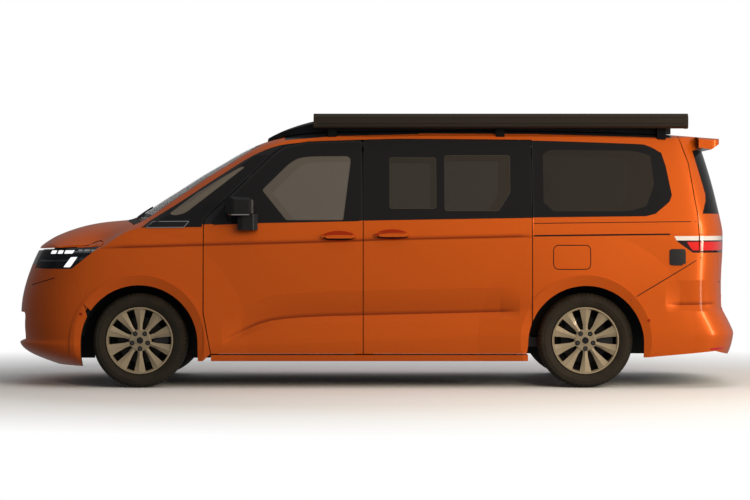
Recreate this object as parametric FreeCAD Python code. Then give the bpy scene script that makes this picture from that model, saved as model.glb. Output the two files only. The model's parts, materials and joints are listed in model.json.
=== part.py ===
"""Camper van with a pop-up roof: every panel, wheel and fitting as its own solid.

The van stands on the ground plane, z = 0. Its nose points to -X, its left side to -Y.
The origin lies on the ground under the middle of its length and width. Millimetres.
"""
import FreeCAD, Part
import math
import os

V = FreeCAD.Vector

# Overall size
FRONT_OVERHANG = 938.0
WHEELBASE = 3124.0
REAR_OVERHANG = 1111.0
BODY_WIDTH = 1936.0
LENGTH = FRONT_OVERHANG + WHEELBASE + REAR_OVERHANG
NOSE_X = -LENGTH / 2
TAIL_X = LENGTH / 2
FRONT_AXLE_X = NOSE_X + FRONT_OVERHANG
REAR_AXLE_X = TAIL_X - REAR_OVERHANG
HALF_WIDTH = BODY_WIDTH / 2

# Wheels
TYRE_RADIUS = 332.0
TYRE_WIDTH = 215.0
TYRE_OUTER_FACE = 926.0
RIM_RADIUS = 234.0
RIM_SEAT_CLEARANCE = 0.3
SPOKE_COUNT = 10
HUB_RADIUS = 78.0
HUB_PIN_RADIUS = 34.0
BEARING_CLEARANCE = 0.3
DISC_RADIUS = 165.0
DISC_THICKNESS = 28.0
KINGPIN_Y = 735.0

# Thickness of glass, outer panels, and whole doors or walls
GLASS = 6.0
SKIN = 15.0
WALL = 70.0
ROOF_WALL = 42.0

# Gaps between panels
SHUT_GAP = 6.0
FIXED_GAP = 0.4

# Wheel arches
FRONT_ARCH_RADIUS = 409.0
REAR_ARCH_RADIUS = 405.0
ARCH_CENTRE_Z = 312.0
FLARE_WIDTH = 84.0
FLARE_PROUD = 8.0
GRIP_PROUD = 30.0
GRIP_THICKNESS = 14.0
GRIP_HEIGHT = 30.0
FRONT_WELL_RADIUS = 420.0
FRONT_WELL_INNER_Y = 480.0
REAR_WELL_RADIUS = 425.0
REAR_WELL_INNER_Y = 655.0
WELL_WALL = 12.0

# Heights
SILL_Z = 189.0
DOOR_BOTTOM_Z = 238.0
FLOOR_Z = 400.0
FLOOR_THICKNESS = 45.0

# Shut lines along the side
FRONT_DOOR_X = -1202.0
B_PILLAR_X = -82.0
SLIDING_DOOR_X = 1101.0

# Tailgate, bonnet and pop-up roof hinges
TAILGATE_HINGE_X = 2150.0


def between(points, t):
    """Smooth value at t through (t, value) pairs, with no overshoot."""
    if t <= points[0][0]:
        return points[0][1]
    if t >= points[-1][0]:
        return points[-1][1]
    count = len(points)
    slopes = []
    for i in range(count - 1):
        rise = points[i + 1][1] - points[i][1]
        slopes.append(rise / (points[i + 1][0] - points[i][0]))
    tangents = [slopes[0]]
    for i in range(1, count - 1):
        before, after = slopes[i - 1], slopes[i]
        same_way = before * after > 0
        tangents.append(2 * before * after / (before + after) if same_way else 0.0)
    tangents.append(slopes[-1])
    i = max(k for k in range(count - 1) if points[k][0] <= t)
    width = points[i + 1][0] - points[i][0]
    s = (t - points[i][0]) / width
    start = points[i][1] * (1 + 2 * s) * (1 - s) ** 2 + width * tangents[i] * s * (1 - s) ** 2
    end = points[i + 1][1] * s * s * (3 - 2 * s) + width * tangents[i + 1] * s * s * (s - 1)
    return start + end


def box(x0, x1, y0, y1, z0, z1):
    """Block between two corners."""
    return Part.makeBox(x1 - x0, y1 - y0, z1 - z0, V(x0, y0, z0))


def corner_wire(points, radius):
    """Closed wire through the points, each corner rounded by the radius or its own third value."""
    count = len(points)
    spots = [V(p[0], p[1], 0) for p in points]
    starts, ends, mids = [], [], []
    for i in range(count):
        here, back, ahead = spots[i], spots[i - 1], spots[(i + 1) % count]
        r = points[i][2] if len(points[i]) > 2 else radius
        to_back, to_ahead = (back - here), (ahead - here)
        reach = min(to_back.Length, to_ahead.Length) * 0.48
        to_back.normalize()
        to_ahead.normalize()
        half = to_back.getAngle(to_ahead) / 2
        if r <= 0 or half > math.pi / 2 - 0.01:
            starts.append(here)
            ends.append(here)
            mids.append(None)
            continue
        length = min(r / math.tan(half), reach)
        r = length * math.tan(half)
        starts.append(here + to_back * length)
        ends.append(here + to_ahead * length)
        bisector = to_back + to_ahead
        bisector.normalize()
        mids.append(here + bisector * (r / math.sin(half) - r))
    edges = []
    for i in range(count):
        if mids[i] is not None:
            edges.append(Part.Arc(starts[i], mids[i], ends[i]).toShape())
        following = starts[(i + 1) % count]
        if (following - ends[i]).Length > 1e-6:
            edges.append(Part.LineSegment(ends[i], following).toShape())
    return Part.Wire(edges)


def side_prism(points, y0, y1, radius=0.0):
    """Prism along Y over an outline of (x, z) points."""
    wire = corner_wire(points, radius)
    wire.rotate(V(0, 0, 0), V(1, 0, 0), 90)
    wire.translate(V(0, y0, 0))
    return Part.Face(wire).extrude(V(0, y1 - y0, 0))


def plan_prism(points, z0, z1, radius=0.0):
    """Prism along Z over an outline of (x, y) points."""
    wire = corner_wire(points, radius)
    wire.translate(V(0, 0, z0))
    return Part.Face(wire).extrude(V(0, 0, z1 - z0))


def front_prism(points, x0, x1, radius=0.0):
    """Prism along X over an outline of (y, z) points."""
    wire = corner_wire(points, radius)
    turn = FreeCAD.Placement(V(x0, 0, 0), FreeCAD.Rotation(V(0, 1, 0), V(0, 0, 1), V(1, 0, 0), "XYZ"))
    wire = wire.transformGeometry(turn.toMatrix())
    return Part.Face(wire).extrude(V(x1 - x0, 0, 0))


def drum(x, z, radius, y0, y1):
    """Cylinder along Y."""
    return Part.makeCylinder(radius, y1 - y0, V(x, y0, z), V(0, 1, 0))


def ring(x, z, outer, inner, y0, y1):
    """Hollow cylinder along Y."""
    return drum(x, z, outer, y0, y1).cut(drum(x, z, inner, y0 - 1, y1 + 1))


def mirrored(shape):
    """The same shape on the other side of the van."""
    return shape.mirror(V(0, 0, 0), V(0, 1, 0))


def joined(shapes):
    """One shape from pieces that touch."""
    result = shapes[0]
    if len(shapes) > 1:
        result = result.fuse(shapes[1:])
    return result.removeSplitter()


def largest(shape, count=1):
    """The biggest solids of a shape, with slivers left out."""
    solids = sorted(shape.Solids, key=lambda solid: -solid.Volume)[:count]
    return solids[0] if count == 1 else Part.makeCompound(solids)


def save(name, shape):
    """Write one named piece as a STEP file."""
    shape.exportStep(os.path.join("parts", name + ".step"))


# Set-back of the nose and of the tail from the ends of the van, by height
NOSE_SETBACK = [(150, 256), (190, 140), (225, 58), (260, 14), (300, -2), (335, 22), (370, 22), (440, 1),
                (520, 0), (600, 5), (660, 13), (700, 29), (773, 59), (846, 81), (883, 96), (920, 118),
                (957, 135), (1000, 162), (1060, 246), (1150, 336), (2100, 436)]
TAIL_SETBACK = [(150, 112), (205, 44), (257, 10), (300, -4), (367, -4), (441, 24), (515, 66), (560, 84),
                (700, 88), (870, 86), (957, 74), (1100, 74), (1160, 81), (1218, 98), (1322, 118),
                (1500, 162), (1673, 214), (1760, 246), (2100, 346)]
# Inset of the side from half the width, by height, before the creases
SIDE_INSET = [(150, 42), (190, 26), (240, 12), (330, 2), (600, 2), (750, 0), (850, 2), (930, 7), (1010, 12),
              (1160, 30), (1250, 50), (1450, 98), (1650, 150), (1780, 188), (2100, 278)]
# Heights of the two lower crease lines and of the shoulder crease, along the van
LOWER_FOLD = [(-1100, 300), (-77, 334), (951, 380)]
UPPER_FOLD = [(-1100, 330), (-1018, 372), (-886, 436), (-737, 485), (-573, 506), (-77, 522), (905, 548)]
SHOULDER = [(-1943, 988), (-1202, 1005), (-77, 1030), (1104, 1066), (2069, 1076)]
SCOOP_DEPTH = [(-1100, 0), (-500, 20), (905, 20), (1100, 6), (1400, 0)]
SHOULDER_STEP = 5.0
NOSE_CORNER = (640.0, 2.6)
TAIL_CORNER = (420.0, 3.2)

# Middle line of the bonnet, windscreen and roof, and how it falls towards the sides
ROOF_LINE = [(-2700, 860), (-2560, 900), (-2454, 957), (-2432, 994), (-2388, 1031), (-2321, 1067),
             (-2225, 1104), (-2107, 1141), (-1923, 1170), (-1770, 1180), (-1700, 1212), (-1658, 1244), (-1525, 1333),
             (-1393, 1414), (-1260, 1502), (-1127, 1576), (-995, 1657), (-906, 1701), (-818, 1738),
             (-600, 1790), (-300, 1828), (0, 1848), (600, 1857), (1100, 1854), (1700, 1826), (2146, 1790),
             (2461, 1764), (2700, 1745)]
CROWN = [(-2700, 40), (-2367, 44), (-2150, 92), (-1960, 146), (-1840, 96), (-1710, 24), (-1500, 14),
         (-900, 12), (-600, 12), (0, 66), (1000, 72), (2146, 28), (2700, 20)]
WINDSCREEN_SWEEP = [(-2700, 90), (-1000, 105), (-500, 60), (0, 0), (2700, 0)]
CROWN_SPAN = 800.0
ROOF_EDGE_Y = 690.0
ROOF_EDGE_FALL = [(-2700, 0.0006), (-1700, 0.0006), (-1300, 0.0016), (-600, 0.0021), (2700, 0.0021)]


def outer_rows(x):
    """Rows of the outer side surface at x, as (height, share of the scoop, share of the shoulder step)."""
    low, high, shoulder = between(LOWER_FOLD, x), between(UPPER_FOLD, x), between(SHOULDER, x)
    rows = [(150.0, 0, 0), (190.0, 0, 0), (235.0, 0, 0), (low - 16, 0, 0), (low + 4, 0, 0)]
    rows += [((low + high) / 2, 0.5, 0), (high - 8, 1, 0), (high + 2, 1, 0), (high + 20, 0.85, 0)]
    rows += [(high + 90, 0, 0), (high + (shoulder - high) * 0.45, 0, 0), (shoulder - 130, 0, 0)]
    rows += [(shoulder - 22, 0, 0), (shoulder - 1, 0, 0), (shoulder + 5, 0, 1), (shoulder + 30, 0, 1)]
    rows += [(shoulder + 120, 0, 1), (1260.0, 0, 1), (1420.0, 0, 1), (1640.0, 0, 1), (1860.0, 0, 1)]
    return rows + [(2100.0, 0, 1)]


def inner_rows(_):
    """Rows of the smoother surface behind the panels."""
    heights = (150.0, 200.0, 270.0, 380.0, 600.0, 850.0, 1020.0, 1160.0, 1400.0, 1750.0, 2100.0)
    return [(z, 0.35 if 300 < z < 700 else 0, 1) for z in heights]


# Number of stations round the nose, along the side and round the tail
OUTER_STATIONS = (9, 21, 7)
INNER_STATIONS = (6, 8, 5)


def side_point(zone, t, row, rows, inset):
    """One point of the left side surface, moved inwards by the inset."""
    corner, power = NOSE_CORNER if zone == "nose" else TAIL_CORNER
    along, across = 1.0, 1.0
    if zone != "side":
        along = 1 - abs(math.cos(t)) ** (2 / power)
        across = abs(math.sin(t)) ** (2 / power)
    x = 0.0
    for _ in range(2):
        z = rows(x)[row][0]
        nose = NOSE_X + between(NOSE_SETBACK, z) + inset
        tail = TAIL_X - between(TAIL_SETBACK, z) - inset
        if zone == "nose":
            x = nose + corner * along
        elif zone == "tail":
            x = tail - corner * along
        else:
            start, end = nose + NOSE_CORNER[0], tail - TAIL_CORNER[0]
            x = start + (end - start) * t
    z, scoop, step = rows(x)[row]
    y = HALF_WIDTH - between(SIDE_INSET, z) - inset
    y -= between(SCOOP_DEPTH, x) * scoop + SHOULDER_STEP * step
    return V(x, -y * across, z)


def spline_surface(poles):
    """Cubic surface held by a grid of poles."""
    knots, weights = [], []
    for count in (len(poles), len(poles[0])):
        spans = count - 3
        knots.append([float(i) for i in range(spans + 1)])
        weights.append([4] + [1] * (spans - 1) + [4])
    surface = Part.BSplineSurface()
    surface.buildFromPolesMultsKnots(poles, weights[0], weights[1], knots[0], knots[1], False, False, 3, 3)
    return surface.toShape()


def sides_solid(inset, rows, stations):
    """Everything inside the sides, nose and tail, from under the sills to above the roof."""
    nose_count, side_count, tail_count = stations
    columns = [("nose", math.pi / 2 * i / nose_count) for i in range(nose_count)]
    columns += [("side", i / side_count) for i in range(side_count + 1)]
    columns += [("tail", math.pi / 2 * i / tail_count) for i in range(tail_count - 1, -1, -1)]
    row_count = len(rows(0))
    left = [[side_point(zone, t, row, rows, inset) for row in range(row_count)] for zone, t in columns]
    right = [[V(p.x, -p.y, p.z) for p in column] for column in reversed(left)]
    faces = [spline_surface(left), spline_surface(right)]
    for height in (rows(0)[0][0], rows(0)[-1][0]):
        rim = []
        for face in faces:
            for edge in face.Edges:
                middle = edge.valueAt((edge.FirstParameter + edge.LastParameter) / 2)
                if abs(middle.z - height) < 1e-6 and abs(edge.Vertexes[0].Z - height) < 1e-6:
                    rim.append(edge)
        faces.append(Part.Face(Part.Wire(Part.__sortEdges__(rim))))
    shell = Part.makeShell(faces)
    shell.sewShape()
    return Part.makeSolid(shell)


def roof_height(x, y):
    """Height of the bonnet, windscreen or roof at a point of the plan."""
    share = abs(y) / CROWN_SPAN
    swept = x - between(WINDSCREEN_SWEEP, x) * share ** 2
    height = between(ROOF_LINE, swept) - between(CROWN, x) * min(share, 1.0) ** 3
    beyond = max(0.0, abs(y) - ROOF_EDGE_Y)
    return height - between(ROOF_EDGE_FALL, x) * beyond ** 2


# Number of stations along and across the top surface
OUTER_TOP = (58, 20)
INNER_TOP = (26, 10)


def solid_under(poles, base):
    """Solid between a grid of poles and a flat base."""
    top = spline_surface(poles)
    x0, x1, y0, y1 = poles[0][0].x, poles[-1][0].x, poles[0][0].y, poles[0][-1].y
    faces = [top, Part.makePlane(x1 - x0, y1 - y0, V(x0, y0, base))]
    for edge in top.Edges:
        a, b = edge.valueAt(edge.FirstParameter), edge.valueAt(edge.LastParameter)
        legs = [Part.LineSegment(b, V(b.x, b.y, base)).toShape(),
                Part.LineSegment(V(b.x, b.y, base), V(a.x, a.y, base)).toShape(),
                Part.LineSegment(V(a.x, a.y, base), a).toShape()]
        faces.append(Part.Face(Part.Wire([edge] + legs)))
    shell = Part.makeShell(faces)
    shell.sewShape()
    return Part.makeSolid(shell)


def under_roof_solid(lower, grid=OUTER_TOP):
    """Everything under the bonnet, windscreen and roof surface, lowered by a thickness."""
    x_count, y_count = grid
    xs = [NOSE_X - 110 + i * (LENGTH + 220) / x_count for i in range(x_count + 1)]
    ys = [-1000 + i * 2000 / y_count for i in range(y_count + 1)]
    return solid_under([[V(x, y, roof_height(x, y) - lower) for y in ys] for x in xs], 100.0)


def body_solid(inset, lower):
    """The van's outer form, drawn in by an inset at the sides and lowered at the top."""
    if inset <= GLASS:
        return sides_solid(inset, outer_rows, OUTER_STATIONS).common(under_roof_solid(lower))
    return sides_solid(inset, inner_rows, INNER_STATIONS).common(under_roof_solid(lower, INNER_TOP))


# Side-view outlines, as (x, z)
FRONT_DOOR = [(-1149, DOOR_BOTTOM_Z), (FRONT_DOOR_X, 533), (FRONT_DOOR_X + 2, 1121), (-1195, 1184),
              (-949, 1416), (-716, 1646), (-640, 1700), (-477, 1728), (B_PILLAR_X, 1741),
              (B_PILLAR_X, DOOR_BOTTOM_Z)]
FRONT_DOOR_WINDOW = [(-1135, 1165), (-926, 1372), (-706, 1586), (-628, 1652), (-475, 1690), (-152, 1702),
                     (-228, 1182), (-812, 1172)]
FRONT_DOOR_GLASS = [(-1170, 1140), (-950, 1390), (-716, 1618), (-636, 1678), (-476, 1712), (-100, 1724),
                    (-100, 1168), (-822, 1154)]
QUARTER_GLASS = [(-1636, 1123), (-1583, 1170), (-1442, 1258), (-1196, 1399), (-1020, 1511), (-850, 1632),
                 (-748, 1634), (-964, 1421), (-1210, 1188), (-1210, 1127)]
QUARTER_WINDOW = [(-1440, 1225), (-1196, 1365), (-1020, 1478), (-900, 1560), (-930, 1490), (-1180, 1252),
                  (-1228, 1160), (-1400, 1160)]
SLIDING_DOOR = [(B_PILLAR_X, DOOR_BOTTOM_Z), (B_PILLAR_X, 1741), (177, 1748), (SLIDING_DOOR_X, 1740),
                (SLIDING_DOOR_X, 477), (1063, DOOR_BOTTOM_Z)]
SLIDING_GLASS = [(B_PILLAR_X + 8, 1172), (B_PILLAR_X + 8, 1734), (177, 1741), (SLIDING_DOOR_X - 8, 1733),
                 (SLIDING_DOOR_X - 8, 1191)]
SLIDING_WINDOWS = [[(104, 1257), (104, 1615), (428, 1615), (428, 1257)],
                   [(490, 1242), (490, 1630), (947, 1630), (947, 1369), (867, 1242)]]
REAR_GLASS = [(SLIDING_DOOR_X + 14, 1194), (SLIDING_DOOR_X + 14, 1735), (1896, 1708), (2016, 1651),
              (2045, 1556), (2083, 1350), (2065, 1305), (1966, 1221), (1899, 1203)]
REAR_WINDOW = [(1178, 1239), (1178, 1674), (1880, 1660), (1960, 1620), (1985, 1500), (2010, 1350),
               (1930, 1245)]
TAILGATE_EDGE = [(TAILGATE_HINGE_X - 6, 1762), (2209, 1578), (2250, 1296), (2264, 1215), (2270, 1069),
                 (2270, 953)]
TAIL_LAMP = [(2092, 1064), (2112, 1026), (2222, 948), (2700, 945), (2700, 1066)]
HEADLAMP = [(-2700, 966), (-2362, 970), (-2150, 979), (-1943, 986), (-1957, 967), (-2064, 882),
            (-2126, 835), (-2326, 833), (-2700, 846)]
BUMPER_FRONT_EDGE = [(-2036, 590), (-2118, 842)]
REAR_BUMPER_TOP = [(1740, 603), (1772, 623), (2269, 932), (2270, 953)]
BONNET_LEADING_Z = 960.0
BONNET_HALF_WIDTH = 800.0
BUMPER_STEP_Z = 740.0
BUMPER_STEP_HALF_WIDTH = 745.0
HEADLAMP_INNER_Y = 600.0
TAIL_LAMP_INNER_Y = 560.0
ROOF_SPLIT_Y = 700.0
WINDSCREEN_FOOT = (-1750.0, 800.0)
WINDSCREEN_HEAD = (-880.0, 655.0)
SWEEP = 105.0
GLASS_LEDGE = 28.0
FAR = 1100.0
HIGH = 2200.0


def shifted(points, dx=0.0, dz=0.0):
    """The same outline moved along both axes."""
    return [(p[0] + dx, p[1] + dz) for p in points]


def swept_edge(x, half_width, count=9):
    """Points across the van on a line that curves back towards the sides."""
    points = []
    for i in range(count):
        y = -half_width + 2 * half_width * i / (count - 1)
        points.append((x + SWEEP * (y / CROWN_SPAN) ** 2, y))
    return points


def bonnet_plan(grow):
    """Plan outline of the bonnet, grown by a gap."""
    rear = swept_edge(BONNET_REAR_X + grow, BONNET_HALF_WIDTH + grow)
    return rear + [(-2800, BONNET_HALF_WIDTH + grow), (-2800, -BONNET_HALF_WIDTH - grow)]


BONNET_REAR_X = -1806.0


def windscreen_plan(shrink):
    """Plan outline of the windscreen, drawn in by an amount."""
    foot = swept_edge(WINDSCREEN_FOOT[0] + shrink, WINDSCREEN_FOOT[1] - shrink)
    head = swept_edge(WINDSCREEN_HEAD[0] - shrink, WINDSCREEN_HEAD[1] - shrink)
    return foot + list(reversed(head))


def arch_cutter(x, radius, inner_y):
    """Wheel arches of one axle, through both sides."""
    left = drum(x, ARCH_CENTRE_Z, radius, -FAR, -inner_y)
    left = left.fuse(box(x - radius, x + radius, -FAR, -inner_y, 0, ARCH_CENTRE_Z))
    return Part.makeCompound([left, mirrored(left)])


OUTER = body_solid(0, 0)
UNDER_GLASS = body_solid(GLASS, GLASS)
UNDER_SKIN = body_solid(SKIN, SKIN)
INNER = body_solid(WALL, ROOF_WALL)
CABIN_FORM = body_solid(WALL + 9, ROOF_WALL + 9)
SHELL = OUTER.cut(INNER)
SKIN_SHELL = OUTER.cut(UNDER_SKIN)
GLASS_SHELL = OUTER.cut(UNDER_GLASS)
FRONT_ARCHES = arch_cutter(FRONT_AXLE_X, FRONT_ARCH_RADIUS, 400)
REAR_ARCHES = arch_cutter(REAR_AXLE_X, REAR_ARCH_RADIUS, 400)

GRIP_FORM = sides_solid(-GRIP_PROUD, inner_rows, INNER_STATIONS)
GRIP_BACK = sides_solid(-GRIP_PROUD + GRIP_THICKNESS, inner_rows, INNER_STATIONS)
FLARE_FORM = sides_solid(-FLARE_PROUD, outer_rows, OUTER_STATIONS)


def arch_flare(x, radius):
    """Raised band with a slanted edge round a wheel arch on the left side."""
    deep, wide = 300.0, radius + FLARE_WIDTH
    cone = Part.makeCone(wide - 10, wide + 20, deep, V(x, -HALF_WIDTH - 30, ARCH_CENTRE_Z), V(0, 1, 0))
    band = FLARE_FORM.common(cone).cut(drum(x, ARCH_CENTRE_Z, radius, -FAR, 0)).cut(UNDER_SKIN)
    return largest(band.cut(box(x - radius, x + radius, -FAR, 0, 0, ARCH_CENTRE_Z)))


FRONT_FLARE = arch_flare(FRONT_AXLE_X, FRONT_ARCH_RADIUS)
REAR_FLARE = arch_flare(REAR_AXLE_X, REAR_ARCH_RADIUS)


def door_grip(start, end, height):
    """Grip bar of a door handle, bowed out from the panel on two feet."""
    half = GRIP_HEIGHT / 2
    outline = [(start, height - half), (end, height - half), (end, height + half), (start, height + half)]
    bar = GRIP_FORM.common(side_prism(outline, -FAR, -700, half - 1)).cut(UNDER_SKIN)
    return bar.cut(GRIP_BACK.common(box(start + 36, end - 36, -FAR, -700, height - 60, height + 60)))


def tailgate_zone(gap):
    """Space that the tailgate takes, drawn in by a gap."""
    edge = shifted(TAILGATE_EDGE, gap)
    low = BUMPER_STEP_Z + gap
    high = TAILGATE_EDGE[-1][1] + gap
    outline = [(edge[0][0], HIGH)] + edge[:-1]
    outline += [(edge[-1][0], low), (TAIL_X + 200, low), (TAIL_X + 200, HIGH)]
    side = side_prism(outline, -FAR, FAR)
    half = BUMPER_STEP_HALF_WIDTH - gap
    top_half, corner_z = SPOILER_HALF_WIDTH - gap, SPOILER_CORNER_Z - gap
    right = [(half, low), (800 - gap, high), (FAR, high), (FAR, corner_z), (top_half, corner_z + 4),
             (top_half, HIGH)]
    left = [(-y, z) for y, z in reversed(right)]
    return side.common(front_prism(right + left, 1900, TAIL_X + 150))


SPOILER_HALF_WIDTH = 736.0
SPOILER_CORNER_Z = 1738.0


def door_hinge(side):
    """Place of a front door's hinge line; side is -1 for the left door."""
    return V(DOOR_HINGE_X, side * DOOR_HINGE_Y, DOOR_BOTTOM_Z)


DOOR_HINGE_X = FRONT_DOOR_X + 102.0
DOOR_HINGE_Y = 940.0
DOOR_FRONT_GAP = 4.5


def grown(points, amount):
    """Outline moved outwards by an amount all round, or inwards if it is negative."""
    face = Part.Face(corner_wire(points, 0))
    wire = face.makeOffset2D(amount, 2, False, False, False).OuterWire
    return [(v.X, v.Y) for v in wire.OrderedVertexes]


def left_cut(outline, radius=0.0, inner=400.0):
    """Prism through the left side only."""
    return side_prism(outline, -FAR, -inner, radius)


POST_X = (B_PILLAR_X - 60, B_PILLAR_X + 70)
POST_HEAD_Z = 1682.0
POST_BACK = body_solid(WALL + 40, ROOF_WALL + 40)
POST_HEAD_FORM = body_solid(SKIN + 6, SKIN + 6)


def post_room():
    """Room that the doors leave for the head of the middle post and the roof panel."""
    head = UNDER_SKIN.common(box(POST_X[0], POST_X[1], -FAR, -400, POST_HEAD_Z, HIGH))
    return head.fuse(box(-1300, 1200, -ROOF_SPLIT_Y - SHUT_GAP, -400, 1500, HIGH))


def make_front_door():
    """Left front door: panel, inner wall, window frame and mirror in one piece."""
    zone = left_cut(grown(FRONT_DOOR, -SHUT_GAP / 2))
    panel = SHELL.common(zone)
    panel = panel.cut(left_cut(FRONT_DOOR_WINDOW, 28))
    panel = panel.cut(GLASS_SHELL.common(left_cut(FRONT_DOOR_GLASS, 20)))
    swing = Part.makeCylinder(B_PILLAR_X - SHUT_GAP / 2 - DOOR_HINGE_X, HIGH, door_hinge(-1) - V(0, 0, 100))
    panel = panel.common(swing)
    front_trim = box(FRONT_DOOR_X - 20, FRONT_DOOR_X + DOOR_FRONT_GAP, -FAR, -400, 150, 1200)
    panel = largest(panel.cut(front_trim).cut(post_room()))
    return joined([panel, make_mirror(), door_grip(-374, -136, 1063)])


def make_mirror():
    """Left door mirror: rounded cap on a short foot."""
    cap = [(-1056, 1266), (-1040, 1326), (-990, 1338), (-870, 1332), (-842, 1306), (-842, 1230), (-866, 1208),
           (-990, 1206), (-1042, 1226)]
    plan = [(-1058, -1000), (-1040, -MIRROR_ROOT_Y), (-842, -MIRROR_ROOT_Y), (-842, -1112),
            (-872, -MIRROR_TIP_Y), (-980, -1118), (-1040, -1070)]
    front = [(-MIRROR_ROOT_Y, 1210), (-1100, 1206), (-MIRROR_TIP_Y, 1232), (-MIRROR_TIP_Y, 1312),
             (-1096, 1338), (-MIRROR_ROOT_Y, 1330)]
    head = side_prism(cap, -MIRROR_TIP_Y - 1, -MIRROR_ROOT_Y, 22).common(plan_prism(plan, 1100, 1400, 24))
    head = head.common(front_prism(front, -1100, -800, 22))
    root = box(-952, -822, -MIRROR_ROOT_Y - 6, -924, 1106, 1142)
    neck = plan_prism([(-960, -MIRROR_ROOT_Y + 10), (-960, -1004), (-925, -1020), (-850, -1020), (-818, -990),
                       (-818, -MIRROR_ROOT_Y + 10)], 1106, 1218, 8)
    return head.fuse([root, neck])


MIRROR_TIP_Y = 1126.0
MIRROR_ROOT_Y = 968.0


def make_front_door_glass():
    """Left front door's window glass."""
    swing = Part.makeCylinder(B_PILLAR_X - SHUT_GAP / 2 - DOOR_HINGE_X, HIGH, door_hinge(-1) - V(0, 0, 100))
    return largest(GLASS_SHELL.common(left_cut(grown(FRONT_DOOR_GLASS, -FIXED_GAP), 20)).common(swing))


def make_sliding_door():
    """Left sliding door with its two window openings."""
    panel = SHELL.common(left_cut(grown(SLIDING_DOOR, -SHUT_GAP / 2)))
    for opening in SLIDING_WINDOWS:
        panel = panel.cut(left_cut(opening, 22))
    panel = panel.cut(GLASS_SHELL.common(left_cut(SLIDING_GLASS)))
    panel = largest(panel.cut(REAR_ARCHES).cut(post_room()))
    return joined([panel, door_grip(-2, 236, 1073)])


def make_sliding_glass():
    """Black glass over the upper half of both sliding doors."""
    left = largest(GLASS_SHELL.common(left_cut(grown(SLIDING_GLASS, -FIXED_GAP))))
    return Part.makeCompound([left, mirrored(left)])


def make_body_side():
    """Left body side: sill, front pillar, roof rail and rear quarter."""
    outline = [(FRONT_DOOR_X - 3, SILL_Z), (FRONT_DOOR_X - 3, 1118), (-1690, 1118)]
    outline += [(-1690, 1500), (-1000, HIGH)]
    outline += [(TAILGATE_EDGE[0][0], HIGH)] + TAILGATE_EDGE
    outline += list(reversed(REAR_BUMPER_TOP[:-1])) + [(1740, SILL_Z)]
    panel = SHELL.common(left_cut(outline)).fuse(REAR_FLARE.common(left_cut(outline)))
    panel = panel.cut(side_prism(grown(FRONT_DOOR, SHUT_GAP / 2), -FAR, -400))
    panel = panel.cut(side_prism(grown(SLIDING_DOOR, SHUT_GAP / 2), -FAR, -400))
    panel = panel.cut(plan_prism(windscreen_plan(GLASS_LEDGE), 1000, HIGH))
    panel = panel.cut(GLASS_SHELL.common(plan_prism(windscreen_plan(-FIXED_GAP), 1000, HIGH)))
    panel = panel.cut(plan_prism(roof_plan(-FIXED_GAP), 1500, HIGH))
    hinge_room = box(TAILGATE_HINGE_X - 60, TAILGATE_HINGE_X + 60, -ROOF_SPLIT_Y - FIXED_GAP, 0, 1500, HIGH)
    panel = panel.cut(hinge_room)
    panel = panel.cut(plan_prism(bonnet_plan(SHUT_GAP), 900, HIGH))
    panel = panel.cut(left_cut(QUARTER_WINDOW, 14)).cut(left_cut(REAR_WINDOW, 24))
    panel = panel.cut(GLASS_SHELL.common(left_cut(QUARTER_GLASS)))
    panel = panel.cut(GLASS_SHELL.common(left_cut(REAR_GLASS)))
    panel = panel.cut(SKIN_SHELL.common(left_cut(TAIL_LAMP)))
    panel = largest(panel.cut(REAR_ARCHES).cut(tailgate_zone(-SHUT_GAP / 2)))
    sill = OUTER.common(box(FRONT_DOOR_X + 54, 1120, -FAR, -SILL_INNER_Y, SILL_Z, DOOR_BOTTOM_Z - SHUT_GAP))
    post = CABIN_FORM.cut(POST_BACK).common(box(*POST_X, -FAR, -560, SILL_Z, HIGH))
    head = box(POST_X[0] + 6, POST_X[1] - 6, -FAR, -560, POST_HEAD_Z + 8, HIGH)
    post = post.fuse(POST_HEAD_FORM.common(head))
    post = post.cut(SHELL.common(box(-400, 300, -ROOF_SPLIT_Y - FIXED_GAP, 0, 1500, HIGH)))
    panel = panel.cut(plan_prism(cowl_plan(FIXED_GAP), 900, 1400))
    return largest(panel.fuse([sill.cut(REAR_ARCHES), largest(post)]))


SILL_INNER_Y = 790.0


def roof_plan(shrink):
    """Plan outline of the roof panel, drawn in by an amount."""
    head = swept_edge(WINDSCREEN_HEAD[0] + FIXED_GAP + shrink - GLASS_LEDGE, ROOF_SPLIT_Y - shrink)
    rear = TAILGATE_EDGE[0][0] - shrink
    return head + [(rear, ROOF_SPLIT_Y - shrink), (rear, -ROOF_SPLIT_Y + shrink)]


def make_roof_panel():
    """Roof panel with the opening under the pop-up roof."""
    panel = SHELL.common(plan_prism(roof_plan(0), 1500, HIGH))
    panel = panel.cut(GLASS_SHELL.common(plan_prism(windscreen_plan(-FIXED_GAP), 1000, HIGH)))
    opening = [(ROOF_OPENING[0], -ROOF_OPENING[2]), (ROOF_OPENING[0], ROOF_OPENING[2]),
               (ROOF_OPENING[1], ROOF_OPENING[2]), (ROOF_OPENING[1], -ROOF_OPENING[2])]
    return largest(panel.cut(plan_prism(opening, 1500, HIGH, 60)))


ROOF_OPENING = (-430.0, 1450.0, 500.0)


def make_windscreen():
    """Windscreen glass."""
    return largest(GLASS_SHELL.common(plan_prism(windscreen_plan(0), 1100, HIGH)))


def make_side_glass():
    """Fixed glass of both sides: front quarter and rear quarter."""
    pieces = []
    for outline in (QUARTER_GLASS, REAR_GLASS):
        left = largest(GLASS_SHELL.common(left_cut(grown(outline, -FIXED_GAP))))
        pieces += [left, mirrored(left)]
    return Part.makeCompound(pieces)


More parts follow.
